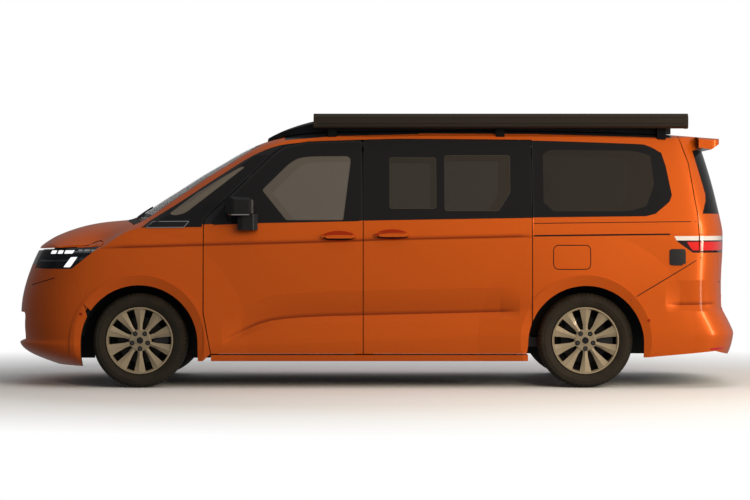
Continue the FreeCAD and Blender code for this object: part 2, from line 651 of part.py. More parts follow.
def cowl_plan(grow=0.0):
    """Plan outline of the panel between bonnet and windscreen."""
    front = swept_edge(BONNET_REAR_X + SHUT_GAP - grow, BONNET_HALF_WIDTH + grow)
    rear = swept_edge(WINDSCREEN_FOOT[0] - FIXED_GAP + grow, BONNET_HALF_WIDTH + grow)
    return front + list(reversed(rear))


def make_front_fenders():
    """Front fenders of both sides around their wheel arches."""
    front_edge = BUMPER_FRONT_EDGE
    outline = [(FRONT_DOOR_X - SHUT_GAP / 2, SILL_Z), (FRONT_DOOR_X - SHUT_GAP / 2, 1118 - FIXED_GAP),
               (-1690 - FIXED_GAP, 1118 - FIXED_GAP), (-1690 - FIXED_GAP, 1400), (-2300, 1400),
               front_edge[1], front_edge[0], (-1600, SILL_Z)]
    panel = SKIN_SHELL.common(left_cut(outline)).fuse(FRONT_FLARE.common(left_cut(outline))).cut(FRONT_ARCHES)
    lower = SKIN_SHELL.common(left_cut([(-1300, SILL_Z), (FRONT_DOOR_X - 3, SILL_Z), (-1152, 240), (-1206, 533),
                                        (-1300, 533)])).cut(FRONT_ARCHES)
    panel = panel.fuse(lower).cut(plan_prism(bonnet_plan(SHUT_GAP), 900, HIGH)).cut(headlamp_zone(FIXED_GAP))
    panel = panel.cut(side_prism(grown(FRONT_DOOR, SHUT_GAP / 2), -FAR, -400))
    panel = panel.cut(plan_prism(cowl_plan(FIXED_GAP), 900, 1400))
    panel = panel.cut(plan_prism(windscreen_plan(-FIXED_GAP), 1000, HIGH))
    left = largest(panel)
    return Part.makeCompound([left, mirrored(left)])


def headlamp_zone(grow):
    """Space of both headlamps, grown by a gap."""
    left = side_prism(grown(HEADLAMP, grow), -FAR, -HEADLAMP_INNER_Y + grow)
    return Part.makeCompound([left, mirrored(left)])


def make_headlamps():
    """Headlamp blocks of both sides."""
    left = largest(SHELL.common(headlamp_zone(0).Solids[0]))
    return Part.makeCompound([left, mirrored(left)])


def make_front_bumper():
    """Front bumper skin with its lower air intake."""
    edge = BUMPER_FRONT_EDGE
    outline = [(NOSE_X - 100, 120), (-1900, 120), (edge[0][0] - FIXED_GAP, edge[0][1] - FIXED_GAP),
               (edge[1][0] - FIXED_GAP, edge[1][1]), (-2126, 860), (NOSE_X - 100, 860)]
    zone = side_prism(outline, -FAR, FAR)
    flare = FRONT_FLARE.common(zone)
    panel = SKIN_SHELL.common(zone).fuse([flare, mirrored(flare)])
    panel = panel.cut(FRONT_ARCHES).cut(headlamp_zone(FIXED_GAP))
    intake = front_prism(INTAKE, NOSE_X - 50, NOSE_X + 300, 30)
    return largest(panel.cut(intake).cut(tow_access()))


INTAKE = [(-560, 300), (-620, 520), (620, 520), (560, 300)]


def tow_sockets(radius, depth):
    """Round holes for the towing eyes at both ends of the right-hand rail, going inwards."""
    y, z = RAIL_Y - RAIL_WIDTH / 2, (RAIL_BOTTOM_Z + FLOOR_Z - FLOOR_THICKNESS) / 2
    front = Part.makeCylinder(radius, depth, V(NOSE_X + RAIL_SETBACK, y, z), V(1, 0, 0))
    rear = Part.makeCylinder(radius, depth, V(TAIL_X - RAIL_SETBACK, y, z), V(-1, 0, 0))
    return front, rear


def tow_access():
    """Hole through bumper and grille in front of the front towing socket."""
    socket = tow_sockets(TOW_ACCESS_RADIUS, 1)[0]
    return socket.fuse(Part.makeCylinder(TOW_ACCESS_RADIUS, RAIL_SETBACK, socket.CenterOfMass, V(-1, 0, 0)))


def tow_notch():
    """Notch up from the rear bumper's lower edge, behind the rear towing socket."""
    socket = tow_sockets(TOW_SOCKET_RADIUS, 1)[1].CenterOfMass
    inner, outer, top = socket.y - TOW_NOTCH, socket.y + TOW_NOTCH, socket.z + TOW_NOTCH
    outline = [(inner, 100), (inner, top, TOW_NOTCH / 2), (outer, top, TOW_NOTCH / 2), (outer, 100)]
    return front_prism(outline, socket.x, TAIL_X + 100)


RAIL_Y = 470.0
RAIL_WIDTH = 70.0
RAIL_BOTTOM_Z = 290.0
RAIL_SETBACK = 180.0
TOW_SOCKET_RADIUS = 10.0
TOW_SOCKET_DEPTH = 60.0
TOW_ACCESS_RADIUS = 26.0
TOW_NOTCH = 48.0


def make_grille():
    """Slats of the lower intake and the slim panel between the headlamps."""
    strip_zone = side_prism([(NOSE_X - 100, 860 + FIXED_GAP), (-2126, 860 + FIXED_GAP), (-2126, 958),
                             (NOSE_X - 100, 958)], -HEADLAMP_INNER_Y + 1, HEADLAMP_INNER_Y - 1)
    pieces = [largest(SKIN_SHELL.common(strip_zone))]
    backing = UNDER_SKIN.cut(body_solid(SKIN + 30, SKIN + 30))
    frame = backing.common(front_prism(grown(INTAKE, 18), NOSE_X - 50, NOSE_X + 500))
    hole_count = 5
    height = (INTAKE[1][1] - INTAKE[0][1]) / hole_count
    for i in range(hole_count):
        low = INTAKE[0][1] + i * height + 9
        frame = frame.cut(box(NOSE_X - 50, NOSE_X + 500, -560, 560, low, low + height - 18))
    pieces.append(largest(frame.cut(tow_access())))
    return Part.makeCompound(pieces)


def make_bonnet():
    """Bonnet skin."""
    lift = SHUT_GAP
    side = [(NOSE_X - 100, BONNET_LEADING_Z + lift), (-2400, BONNET_LEADING_Z + 8 + lift),
            (-2150, 979 + lift), (-1943, 986 + lift), (-1600, 1000), (-1600, 1500), (NOSE_X - 100, 1500)]
    over = SKIN_SHELL.common(plan_prism(bonnet_plan(0), 900, 1500))
    return largest(over.common(side_prism(side, -FAR, FAR)))


def make_cowl():
    """Black panel between the bonnet and the windscreen."""
    return largest(SHELL.common(plan_prism(cowl_plan(), 1000, 1400)))


def make_tailgate():
    """Tailgate with its spoiler and window opening."""
    panel = SHELL.common(tailgate_zone(SHUT_GAP / 2))
    wing = [(2290, 1900), (SPOILER_TIP_X, 1900), (SPOILER_TIP_X, 1738), (2381, 1676), (2290, 1690)]
    half = SPOILER_HALF_WIDTH - SHUT_GAP
    plan = [(2200, half, 1), (SPOILER_TIP_X - 40, half, 60), (SPOILER_TIP_X, half * 0.6, 900),
            (SPOILER_TIP_X, -half * 0.6, 900), (SPOILER_TIP_X - 40, -half, 60), (2200, -half, 1)]
    spoiler = under_roof_solid(0).common(side_prism(wing, -half, half)).common(plan_prism(plan, 1600, 1900))
    panel = largest(panel.cut(front_prism(TAILGATE_WINDOW, 2100, TAIL_X, 40)))
    panel = panel.cut(GLASS_SHELL.common(side_prism(TAILGATE_GLASS, -FAR, FAR)))
    panel = panel.cut(SKIN_SHELL.common(tail_lamp_zone(0)))
    return largest(panel.fuse(spoiler))


TAILGATE_GLASS = [(2245, 1671), (2329, 1362), (2329, 1314), (2300, 1221), (TAIL_X, 1221), (TAIL_X, 1671)]
TAILGATE_WINDOW = [(-650, 1270), (650, 1270), (590, 1630), (-590, 1630)]
SPOILER_TIP_X = TAIL_X - 114.0


def make_tailgate_glass():
    """Black glass across the upper tailgate."""
    zone = side_prism(grown(TAILGATE_GLASS, -FIXED_GAP), -FAR, FAR)
    return largest(GLASS_SHELL.common(zone).common(tailgate_zone(SHUT_GAP)))


def tail_lamp_zone(shrink):
    """Space of both tail lamps, drawn in by a gap."""
    left = side_prism(grown(TAIL_LAMP, -shrink) if shrink else TAIL_LAMP, -FAR, -TAIL_LAMP_INNER_Y - shrink)
    return Part.makeCompound([left, mirrored(left)])


def make_tail_lamps():
    """Outer halves of the tail lamps, on the body."""
    zone = tail_lamp_zone(FIXED_GAP).Solids[0]
    left = largest(SKIN_SHELL.common(zone).cut(tailgate_zone(-SHUT_GAP / 2)))
    return Part.makeCompound([left, mirrored(left)])


def make_tailgate_lamps():
    """Inner halves of the tail lamps, on the tailgate."""
    zone = tail_lamp_zone(FIXED_GAP).Solids[0]
    left = largest(SKIN_SHELL.common(zone).common(tailgate_zone(SHUT_GAP)))
    return Part.makeCompound([left, mirrored(left)])


def make_rear_bumper():
    """Rear bumper skin."""
    outline = [(1600, 120), (REAR_BUMPER_TOP[0][0], REAR_BUMPER_TOP[0][1] - FIXED_GAP)]
    outline += [(x, z - FIXED_GAP) for x, z in REAR_BUMPER_TOP[1:]]
    outline += [(TAIL_X + 100, REAR_BUMPER_TOP[-1][1] - FIXED_GAP), (TAIL_X + 100, 120)]
    zone = side_prism(outline, -FAR, FAR)
    flare = REAR_FLARE.common(zone)
    panel = SKIN_SHELL.common(zone).fuse([flare, mirrored(flare)]).cut(REAR_ARCHES)
    panel = panel.cut(side_prism([(1600, 100), (1600, 212), (1910, 216), (2385, 258), (TAIL_X + 9, 203),
                                  (TAIL_X + 9, 100)], -FAR, FAR))
    panel = panel.cut(SKIN_SHELL.common(tail_lamp_zone(0)))
    return largest(panel.cut(tailgate_zone(-SHUT_GAP / 2)).cut(tow_notch()))


def lid_height(x, y):
    """Height of the pop-up roof's top surface at a point of the plan."""
    return between(LID_LINE, x) - 34.0 * (abs(y) / LID_HALF_WIDTH) ** 3


LID_LINE = [(-900, 1700), (-800, 1752), (-729, 1797), (-685, 1826), (-641, 1843), (-552, 1863), (-464, 1893),
            (-200, 1930), (300, 1949), (1000, 1943), (1700, 1911), (2080, 1868), (2300, 1840)]
LID_HALF_WIDTH = 700.0
LID_WALL = 26.0
LID_FRONT_X = -790.0
LID_REAR_X = 2104.0


def under_lid_solid(lower):
    """Everything under the pop-up roof's top surface, lowered by a thickness."""
    xs = [-960 + i * 3200 / 26 for i in range(27)]
    ys = [-760 + i * 1520 / 8 for i in range(9)]
    return solid_under([[V(x, y, lid_height(x, y) - lower) for y in ys] for x in xs], 1500.0)


def lid_plan(shrink):
    """Plan outline of the pop-up roof, drawn in by an amount."""
    half, front, rear = LID_HALF_WIDTH - shrink, LID_FRONT_X + shrink, LID_REAR_X - shrink
    points = [(rear, half, 90), (rear, -half, 90), (front + 190, -half, 240)]
    points += [(front + 28, -half * 0.62, 200), (front, 0, 400), (front + 28, half * 0.62, 200)]
    return points + [(front + 190, half, 240)]


def make_pop_roof():
    """Pop-up roof shell, closed, standing clear of the roof panel."""
    above_roof = under_roof_solid(-SHUT_GAP - 1)
    lid = under_lid_solid(0).common(plan_prism(lid_plan(0), 1600, HIGH))
    hollow = under_lid_solid(LID_WALL).common(plan_prism(lid_plan(LID_WALL), 1600, HIGH))
    lid = lid.cut(above_roof)
    return largest(lid.cut(hollow))


def make_roof_canvas():
    """Folded canvas of the pop-up roof, as a plain low ring on the roof panel."""
    outer = plan_prism([(p[0], p[1], 60) for p in CANVAS_RING], 1700, HIGH)
    inner = plan_prism([(p[0] * 0.965 + 18, p[1] * 0.93, 50) for p in CANVAS_RING], 1700, HIGH)
    band = outer.cut(inner)
    band = band.cut(under_roof_solid(-0.4)).common(under_roof_solid(-26))
    return largest(band)


CANVAS_RING = [(-520, -560), (-520, 560), (1560, 560), (1560, -560)]


AWNING_FRONT_X = -432.0
AWNING_REAR_X = 2200.0
AWNING_OUTER_Y = 862.0
AWNING_INNER_Y = 745.0
AWNING_BOTTOM_Z = 1822.0
AWNING_TOP_Z = 1925.0
AWNING_CAP = 22.0
AWNING_CAP_PROUD = 2.0
AWNING_FOOT = 60.0


def awning_section(proud):
    """Section of the awning case across the van, with its outer side and foot moved out."""
    y0, y1 = -AWNING_OUTER_Y, -AWNING_INNER_Y
    low, high = AWNING_BOTTOM_Z, AWNING_TOP_Z
    return [(y0 - proud, low + 12 - proud, 14), (y0 - proud, high - 23 + proud / 2, 24), (y0 + 30, high, 14),
            (y1, high, 20), (y1, low + 14, 8), (y1 - 20, low - proud, 8), (y0 + 20, low - proud, 8)]


def make_awning():
    """Awning case on the left edge of the roof, with its end caps and feet."""
    front, rear = AWNING_FRONT_X, AWNING_REAR_X
    pieces = [front_prism(awning_section(0), front + AWNING_CAP, rear - AWNING_CAP, 8)]
    for x in (front, rear - AWNING_CAP):
        pieces.append(front_prism(awning_section(AWNING_CAP_PROUD), x, x + AWNING_CAP, 8))
    inner = -AWNING_INNER_Y
    for x in (front + 100, (front + rear - AWNING_FOOT) / 2, rear - 210):
        foot = box(x, x + AWNING_FOOT, inner - 40, inner + 34, 1700, AWNING_BOTTOM_Z + 8)
        pieces.append(largest(foot.cut(under_roof_solid(0))))
    return joined(pieces)


def make_wipers():
    """Two wiper arms with blades, lying at the foot of the windscreen."""
    pieces = []
    lift = under_roof_solid(-14).cut(under_roof_solid(-1))
    for y in (-560.0, 60.0):
        x = WINDSCREEN_FOOT[0] + 14 + SWEEP * (y / CROWN_SPAN) ** 2
        outline = [(x - 14, y - 14), (x - 14, y + 14), (x + 40, y + 500), (x + 58, y + 500), (x + 20, y - 14)]
        pieces.append(largest(lift.common(plan_prism(outline, 1100, 1400, 5))))
    return Part.makeCompound(pieces)


def well_ring(x, radius, inner_y, outer_y):
    """One wheel well on the left: a half drum with a closed inner end."""
    outer = drum(x, ARCH_CENTRE_Z, radius + WELL_WALL, -outer_y, -inner_y + WELL_WALL)
    inner = drum(x, ARCH_CENTRE_Z, radius, -outer_y - 5, -inner_y)
    return outer.cut(inner).cut(box(x - 600, x + 600, -FAR, 0, 0, WELL_OPEN_Z))


WELL_OPEN_Z = FLOOR_Z - FLOOR_THICKNESS
BULKHEAD_X = -1150.0


def well_places():
    """Radius, inner end and side form of the wheel wells of both axles."""
    return ((FRONT_AXLE_X, FRONT_WELL_RADIUS, FRONT_WELL_INNER_Y, UNDER_SKIN),
            (REAR_AXLE_X, REAR_WELL_RADIUS, REAR_WELL_INNER_Y, CABIN_FORM))


def make_floor():
    """Floor plate with the bulkhead and the shelf under the cowl."""
    plate = CABIN_FORM.common(box(BULKHEAD_X, TAIL_X - 120, -FAR, FAR, FLOOR_Z - FLOOR_THICKNESS, FLOOR_Z))
    door_room = plan_prism([(-1300, -FAR), (-940, -FAR), (-940, -HALF_WIDTH + WALL + 9), (-1010, -815),
                            (-1300, -815)], 0, HIGH)
    post = box(POST_X[0] - FIXED_GAP, POST_X[1] + FIXED_GAP, -FAR, -HALF_WIDTH + WALL + 60, 0, FLOOR_Z)
    for room in (door_room, post):
        plate = plate.cut(room).cut(mirrored(room))
    wall = CABIN_FORM.common(box(BULKHEAD_X - 25, BULKHEAD_X, -815, 815, FLOOR_Z - FLOOR_THICKNESS, 1120))
    front = body_solid(SKIN + 8, SKIN + 40)
    shelf = front.common(box(WINDSCREEN_FOOT[0] - 30, BULKHEAD_X, -790, 790, 1090, 1120))
    floor = plate.fuse([wall, shelf])
    for x, radius, inner_y, _ in well_places():
        room = drum(x, ARCH_CENTRE_Z, radius + WELL_WALL + FIXED_GAP, -FAR, -inner_y + WELL_WALL + FIXED_GAP)
        floor = floor.cut(room).cut(mirrored(room))
    return largest(floor)


def make_wheel_wells():
    """Wheel wells of both axles, with the pillars behind the front ones."""
    pieces = []
    for x, radius, inner_y, form in well_places():
        tub = well_ring(x, radius, inner_y, FAR).common(form)
        if x < 0:
            post = UNDER_SKIN.common(box(-1300, -1232, -FAR, -SILL_INNER_Y, DOOR_BOTTOM_Z, 1112))
            tub = tub.fuse(post).cut(drum(x, ARCH_CENTRE_Z, radius, -FAR, -inner_y))
        tub = largest(tub)
        pieces += [tub, mirrored(tub)]
    return Part.makeCompound(pieces)


def make_chassis_rails():
    """Two long rails with the towing sockets, and the sill members beside them."""
    top = FLOOR_Z - FLOOR_THICKNESS
    front, rear = NOSE_X + RAIL_SETBACK, TAIL_X - RAIL_SETBACK
    rail = box(front, rear, -RAIL_Y, -RAIL_Y + RAIL_WIDTH, RAIL_BOTTOM_Z, top)
    sill = box(FRONT_DOOR_X + 60, REAR_AXLE_X - 480, -SILL_INNER_Y, -SILL_INNER_Y + 60,
               DOOR_BOTTOM_Z - SHUT_GAP + FIXED_GAP, top)
    right = mirrored(rail)
    for tow in tow_sockets(TOW_SOCKET_RADIUS, TOW_SOCKET_DEPTH):
        right = right.cut(tow)
    return Part.makeCompound([rail, right.Solids[0], sill, mirrored(sill)])


def make_engine():
    """Engine and gearbox as one plain block on the rails."""
    block = box(-2300, -1740, -RAIL_Y + RAIL_WIDTH + 5, RAIL_Y - RAIL_WIDTH - 5, 330, 930)
    feet = [box(-2120, -2020, y, y + RAIL_WIDTH + 6, FLOOR_Z - FLOOR_THICKNESS, 420)
            for y in (-RAIL_Y + 4, RAIL_Y - RAIL_WIDTH - 10)]
    return joined([block] + feet)


LOWER_BALL_Z = 222.0
UPPER_BALL_Z = 462.0
BALL_PIN_RADIUS = 13.0
ARM_HEIGHT = 26.0


def make_front_subframe():
    """Cross member with the lower and upper arms that hold the front knuckles."""
    cross = box(FRONT_AXLE_X - 150, FRONT_AXLE_X + 150, -RAIL_Y - 45, RAIL_Y + 45, 205, RAIL_BOTTOM_Z)
    pieces = [cross]
    for z in (LOWER_BALL_Z, UPPER_BALL_Z):
        reach = 150 if z == LOWER_BALL_Z else 110
        outline = [(FRONT_AXLE_X - reach, -RAIL_Y - 30), (FRONT_AXLE_X - 34, -KINGPIN_Y + 30, 20),
                   (FRONT_AXLE_X - 30, -KINGPIN_Y - 30, 28), (FRONT_AXLE_X + 30, -KINGPIN_Y - 30, 28),
                   (FRONT_AXLE_X + 34, -KINGPIN_Y + 30, 20), (FRONT_AXLE_X + reach, -RAIL_Y - 30)]
        arm = plan_prism(outline, z - ARM_HEIGHT / 2, z + ARM_HEIGHT / 2)
        eye = Part.makeCylinder(BALL_PIN_RADIUS + BEARING_CLEARANCE, 80, V(FRONT_AXLE_X, -KINGPIN_Y, z - 40))
        arm = arm.cut(eye)
        pieces += [arm, mirrored(arm)]
    tower = box(FRONT_AXLE_X - 110, FRONT_AXLE_X + 110, -RAIL_Y - 45, -RAIL_Y - 12, 205, UPPER_BALL_Z + 13)
    pieces += [tower, mirrored(tower)]
    return pieces[0].fuse(pieces[1:])


def make_knuckle():
    """Left front knuckle: upright between the two ball joints, wheel pin and brake caliper."""
    x, y = FRONT_AXLE_X, -KINGPIN_Y
    gap = ARM_HEIGHT / 2 + 1
    upright = plan_prism([(x - 30, y - 24), (x - 30, y + 22), (x + 30, y + 22), (x + 30, y - 24)],
                         LOWER_BALL_Z + gap, UPPER_BALL_Z - gap, 8)
    pin = Part.makeCylinder(BALL_PIN_RADIUS, UPPER_BALL_Z - LOWER_BALL_Z + ARM_HEIGHT,
                            V(x, y, LOWER_BALL_Z - ARM_HEIGHT / 2))
    stub = drum(x, TYRE_RADIUS, HUB_PIN_RADIUS, -HUB_PIN_END_Y, y)
    flange = drum(x, TYRE_RADIUS, 55, -DISC_INNER_Y + 6, y)
    return joined([upright, pin, stub, flange, caliper(x)])


HUB_PIN_END_Y = 868.0
DISC_INNER_Y = 780.0


def caliper(x):
    """Brake caliper over the rear edge of the left disc, with its bracket."""
    outer = drum(x, TYRE_RADIUS, DISC_RADIUS + 32, -DISC_INNER_Y - DISC_THICKNESS - 34, -DISC_INNER_Y + 34)
    outer = outer.cut(drum(x, TYRE_RADIUS, 92, -FAR, 0))
    wedge = [(x, TYRE_RADIUS), (x + 400, TYRE_RADIUS - 190), (x + 400, TYRE_RADIUS + 190)]
    shoe = outer.common(side_prism(wedge, -FAR, 0))
    slot = drum(x, TYRE_RADIUS, DISC_RADIUS + 6, -DISC_INNER_Y - DISC_THICKNESS - 5, -DISC_INNER_Y + 5)
    bracket = box(x, x + 110, -DISC_INNER_Y + 6, -DISC_INNER_Y + 34, TYRE_RADIUS - 40, TYRE_RADIUS + 40)
    return shoe.cut(slot).fuse(bracket)


AXLE_TUBE_RADIUS = 38.0
AXLE_TUBE_Z = RAIL_BOTTOM_Z - AXLE_TUBE_RADIUS - 5.0


def make_rear_axle():
    """Rear axle: cross tube, trailing arms, springs, wheel pins and calipers."""
    x, z = REAR_AXLE_X, TYRE_RADIUS
    pieces = [Part.makeCylinder(AXLE_TUBE_RADIUS, 2 * 690, V(x + 60, -690, AXLE_TUBE_Z), V(0, 1, 0))]
    for side in (-1, 1):
        plate = box(x - 60, x + 110, -700, -672, AXLE_TUBE_Z - 45, z + 70)
        pin = drum(x, z, HUB_PIN_RADIUS, -HUB_PIN_END_Y, -672)
        flange = drum(x, z, 55, -DISC_INNER_Y + 6, -672)
        arm = side_prism([(x - 430, 280), (x - 430, 345), (x - 60, z + 20), (x - 60, z - 60)], -700, -640)
        foot = box(x - 430, x - 370, -700, -640, 280, FLOOR_Z - FLOOR_THICKNESS)
        spring = Part.makeCylinder(50, FLOOR_Z - FLOOR_THICKNESS - AXLE_TUBE_Z, V(x + 60, -560, AXLE_TUBE_Z))
        half = joined([plate, pin, flange, arm, foot, spring, caliper(x)])
        pieces.append(half if side < 0 else mirrored(half))
    return pieces[0].fuse(pieces[1:])


EXHAUST_RADIUS = 29.0


def make_exhaust():
    """Silencer and pipe under the floor, with hangers."""
    top = FLOOR_Z - FLOOR_THICKNESS
    silencer = plan_prism([(2060, -350), (2060, 250), (2300, 250), (2300, -350)], 240, top - 30, 60)
    pipe = Part.makeCylinder(EXHAUST_RADIUS, 2000, V(130, 120, top - EXHAUST_RADIUS - 6), V(1, 0, 0))
    hangers = [box(2100, 2130, 0, 30, top - 40, top), box(2240, 2270, 0, 30, top - 40, top),
               box(300, 330, 105, 135, 310, top)]
    return joined([silencer, pipe] + hangers)


def make_fuel_tank():
    """Fuel tank under the floor."""
    return plan_prism([(-700, -380), (-700, 60), (100, 60), (100, -380)], 225, FLOOR_Z - FLOOR_THICKNESS, 50)


def make_tyre(x):
    """One tyre on the left side."""
    inner, outer = TYRE_OUTER_FACE - TYRE_WIDTH, TYRE_OUTER_FACE
    r0 = RIM_RADIUS + RIM_SEAT_CLEARANCE
    r1 = TYRE_RADIUS
    half = [(r0, inner + 22), (r0 + 26, inner + 4), (r1 - 45, inner), (r1 - 12, inner + 12), (r1, inner + 30),
            (r1, outer - 30), (r1 - 12, outer - 12), (r1 - 45, outer), (r0 + 26, outer - 4), (r0, outer - 22)]
    return turned(half, x)


def turned(profile, x):
    """Solid turned about a wheel axle on the left, from (radius, distance from the middle) points."""
    points = [V(x + r, -y, TYRE_RADIUS) for r, y in profile]
    wire = Part.makePolygon(points + [points[0]])
    return Part.Face(wire).revolve(V(x, 0, TYRE_RADIUS), V(0, 1, 0), 360)


def spoke_section(x, radius, half_width, crest, edge):
    """Five-sided section of an upright spoke at a radius; crest and edge are its outer |y|."""
    z, back = TYRE_RADIUS + radius, edge - SPOKE_THICKNESS
    points = [V(x - half_width, -back, z), V(x - half_width, -edge, z), V(x + half_width * 0.12, -crest, z),
              V(x + half_width, -edge + 3, z), V(x + half_width, -back, z)]
    return Part.makePolygon(points + [points[0]])


def make_spoke(x):
    """One wedge spoke with a ridge, wider and further out towards the rim."""
    sections = [(52, 15, 893, 888), (110, 17, 897, 889), (180, 32, 905, 897), (RIM_RADIUS - 12, 42, 912, 906)]
    return Part.makeLoft([spoke_section(x, *numbers) for numbers in sections], True, True)


def about_axle(shape, x, degrees):
    """Copy of a shape turned about a wheel axle."""
    copy = shape.copy()
    copy.rotate(V(x, 0, TYRE_RADIUS), V(0, 1, 0), degrees)
    return copy


SPOKE_THICKNESS = 20.0
BOLT_CIRCLE = 57.0
BOLT_COUNT = 5


def make_rim(x):
    """One light-alloy rim on the left with its wedge spokes, bolts, centre cap and brake disc."""
    inner, outer = TYRE_OUTER_FACE - TYRE_WIDTH + 12, TYRE_OUTER_FACE - 8
    r = RIM_RADIUS
    barrel = turned([(r - 14, inner), (r, inner), (r, outer), (r - 10, outer), (r - 13, outer - 14),
                     (r - 22, outer - 40), (r - 22, inner + 30)], x)
    hub_face = turned([(0, 866), (76, 866), (82, 874), (74, 889), (38, 892), (35, 886), (0, 886)], x)
    cap = turned([(0, 880), (33, 880), (33, 893), (28, 897), (0, 898)], x)
    spoke = make_spoke(x)
    spokes = [about_axle(spoke, x, 180 + 360 / SPOKE_COUNT * i) for i in range(SPOKE_COUNT)]
    hub = drum(x, TYRE_RADIUS, HUB_RADIUS, -872, -DISC_INNER_Y)
    disc = drum(x, TYRE_RADIUS, DISC_RADIUS, -DISC_INNER_Y - DISC_THICKNESS, -DISC_INNER_Y)
    wheel = barrel.fuse([hub_face, cap, hub, disc] + spokes)
    pocket = drum(x, TYRE_RADIUS - BOLT_CIRCLE, 14, -FAR, -880)
    head = Part.makeCylinder(9, 26, V(x, -894, TYRE_RADIUS - BOLT_CIRCLE), V(0, 1, 0))
    turns = [360 / BOLT_COUNT * i for i in range(BOLT_COUNT)]
    wheel = wheel.cut([about_axle(pocket, x, turn) for turn in turns])
    wheel = wheel.fuse([about_axle(head, x, turn) for turn in turns])
    bore = drum(x, TYRE_RADIUS, HUB_PIN_RADIUS + BEARING_CLEARANCE, -HUB_PIN_END_Y - 2, 0)
    return largest(wheel.cut(bore))


def make_dashboard():
    """Dashboard across the cabin with the steering column."""
    section = [(BULKHEAD_X, 700), (BULKHEAD_X, 1120), (-1130, 1120), (-960, 1110, 40), (-850, 1060, 60),
               (-830, 960, 30), (-900, 900, 20), (-960, 700, 30)]
    body = side_prism(section, -790, 790, 10)
    column = Part.makeCylinder(32, 190, V(-870, STEERING_WHEEL_Y, 960), V(1, 0, 0.42))
    return joined([body, column])


STEERING_WHEEL_Y = -370.0


def make_steering_wheel():
    """Steering wheel: rim, boss and three spokes, tilted on the column."""
    rim = Part.makeTorus(178, 15)
    boss = Part.makeCylinder(44, 34, V(0, 0, -24))
    spokes = [box(30, 178, -16, 16, -9, 5) for _ in range(3)]
    for angle, spoke in zip((0, 180, 270), spokes):
        spoke.rotate(V(0, 0, 0), V(0, 0, 1), angle)
    wheel = joined([rim, boss] + spokes)
    turn = FreeCAD.Rotation(V(0, 0, 1), V(1, 0, 0.42))
    wheel.Placement = FreeCAD.Placement(V(-870, STEERING_WHEEL_Y, 960) + V(1, 0, 0.42) * (190 + 24) * 0.922,
                                        turn)
    return wheel


def one_seat(x, y, width):
    """Seat on its pedestal: cushion, backrest and head restraint."""
    pedestal = box(x + 60, x + 440, y - width / 2 + 60, y + width / 2 - 60, FLOOR_Z, 640)
    cushion = side_prism([(x, 630, 40), (x, 770, 60), (x + 470, 745), (x + 500, 630, 40)],
                         y - width / 2, y + width / 2)
    back = side_prism([(x + 400, 700), (x + 560, 1330, 60), (x + 660, 1330, 60), (x + 560, 680, 40)],
                      y - width / 2, y + width / 2)
    neck = side_prism([(x + 590, 1320), (x + 595, 1390), (x + 625, 1390), (x + 620, 1320)], y - 60, y + 60)
    head = side_prism([(x + 560, 1370), (x + 575, 1530), (x + 660, 1530), (x + 650, 1370)],
                      y - 130, y + 130, 40)
    return joined([pedestal, cushion, back, neck, head])


def well_room():
    """Room that furniture leaves for the left rear wheel well."""
    return drum(REAR_AXLE_X, ARCH_CENTRE_Z, REAR_WELL_RADIUS + WELL_WALL + 4, -FAR, -REAR_WELL_INNER_Y + 20)


def make_front_seats():
    """The two front seats."""
    return Part.makeCompound([one_seat(-560, y, 500) for y in (STEERING_WHEEL_Y - 20, -STEERING_WHEEL_Y + 20)])


def make_rear_bench():
    """Rear bench for two."""
    bench = joined([one_seat(640, y, 482) for y in (40.0, 520.0)])
    return bench.cut(mirrored(well_room()))


def make_kitchen():
    """Kitchen unit along the left wall behind the driver."""
    unit = box(420, 1600, -845, -470, FLOOR_Z, 1130)
    return largest(unit.cut(well_room()).common(CABIN_FORM))


def main():
    """Build every piece and write its file."""
    os.makedirs("parts", exist_ok=True)
    left_door, left_glass = make_front_door(), make_front_door_glass()
    sliding = make_sliding_door()
    body_side = make_body_side()
    knuckle = make_knuckle()
    pieces = {
        "floor": make_floor(),
        "wheel_wells": make_wheel_wells(),
        "chassis_rails": make_chassis_rails(),
        "body_side_left": body_side,
        "body_side_right": mirrored(body_side),
        "roof_panel": make_roof_panel(),
        "front_fenders": make_front_fenders(),
        "front_bumper": make_front_bumper(),
        "grille": make_grille(),
        "rear_bumper": make_rear_bumper(),
        "cowl": make_cowl(),
        "windscreen": make_windscreen(),
        "side_glass": make_side_glass(),
        "sliding_door_left": sliding,
        "sliding_door_right": mirrored(sliding),
        "sliding_door_glass": make_sliding_glass(),
        "headlamps": make_headlamps(),
        "tail_lamps": make_tail_lamps(),
        "wipers": make_wipers(),
        "awning": make_awning(),
        "engine": make_engine(),
        "front_subframe": make_front_subframe(),
        "rear_axle": make_rear_axle(),
        "exhaust": make_exhaust(),
        "fuel_tank": make_fuel_tank(),
        "dashboard": make_dashboard(),
        "steering_wheel": make_steering_wheel(),
        "front_seats": make_front_seats(),
        "rear_bench": make_rear_bench(),
        "kitchen_unit": make_kitchen(),
        "roof_canvas": make_roof_canvas(),
        "front_left_knuckle": knuckle,
        "front_right_knuckle": mirrored(knuckle),
        "front_left_door": left_door,
        "front_right_door": mirrored(left_door),
        "front_left_door_glass": left_glass,
        "front_right_door_glass": mirrored(left_glass),
        "tailgate": make_tailgate(),
        "tailgate_glass": make_tailgate_glass(),
        "tailgate_lamps": make_tailgate_lamps(),
        "bonnet": make_bonnet(),
        "pop_roof": make_pop_roof(),
    }
    for end, x in (("front", FRONT_AXLE_X), ("rear", REAR_AXLE_X)):
        tyre, rim = make_tyre(x), make_rim(x)
        pieces[end + "_left_tyre"] = tyre
        pieces[end + "_right_tyre"] = mirrored(tyre)
        pieces[end + "_left_rim"] = rim
        pieces[end + "_right_rim"] = mirrored(rim)
    for name, shape in pieces.items():
        save(name, shape)


main()
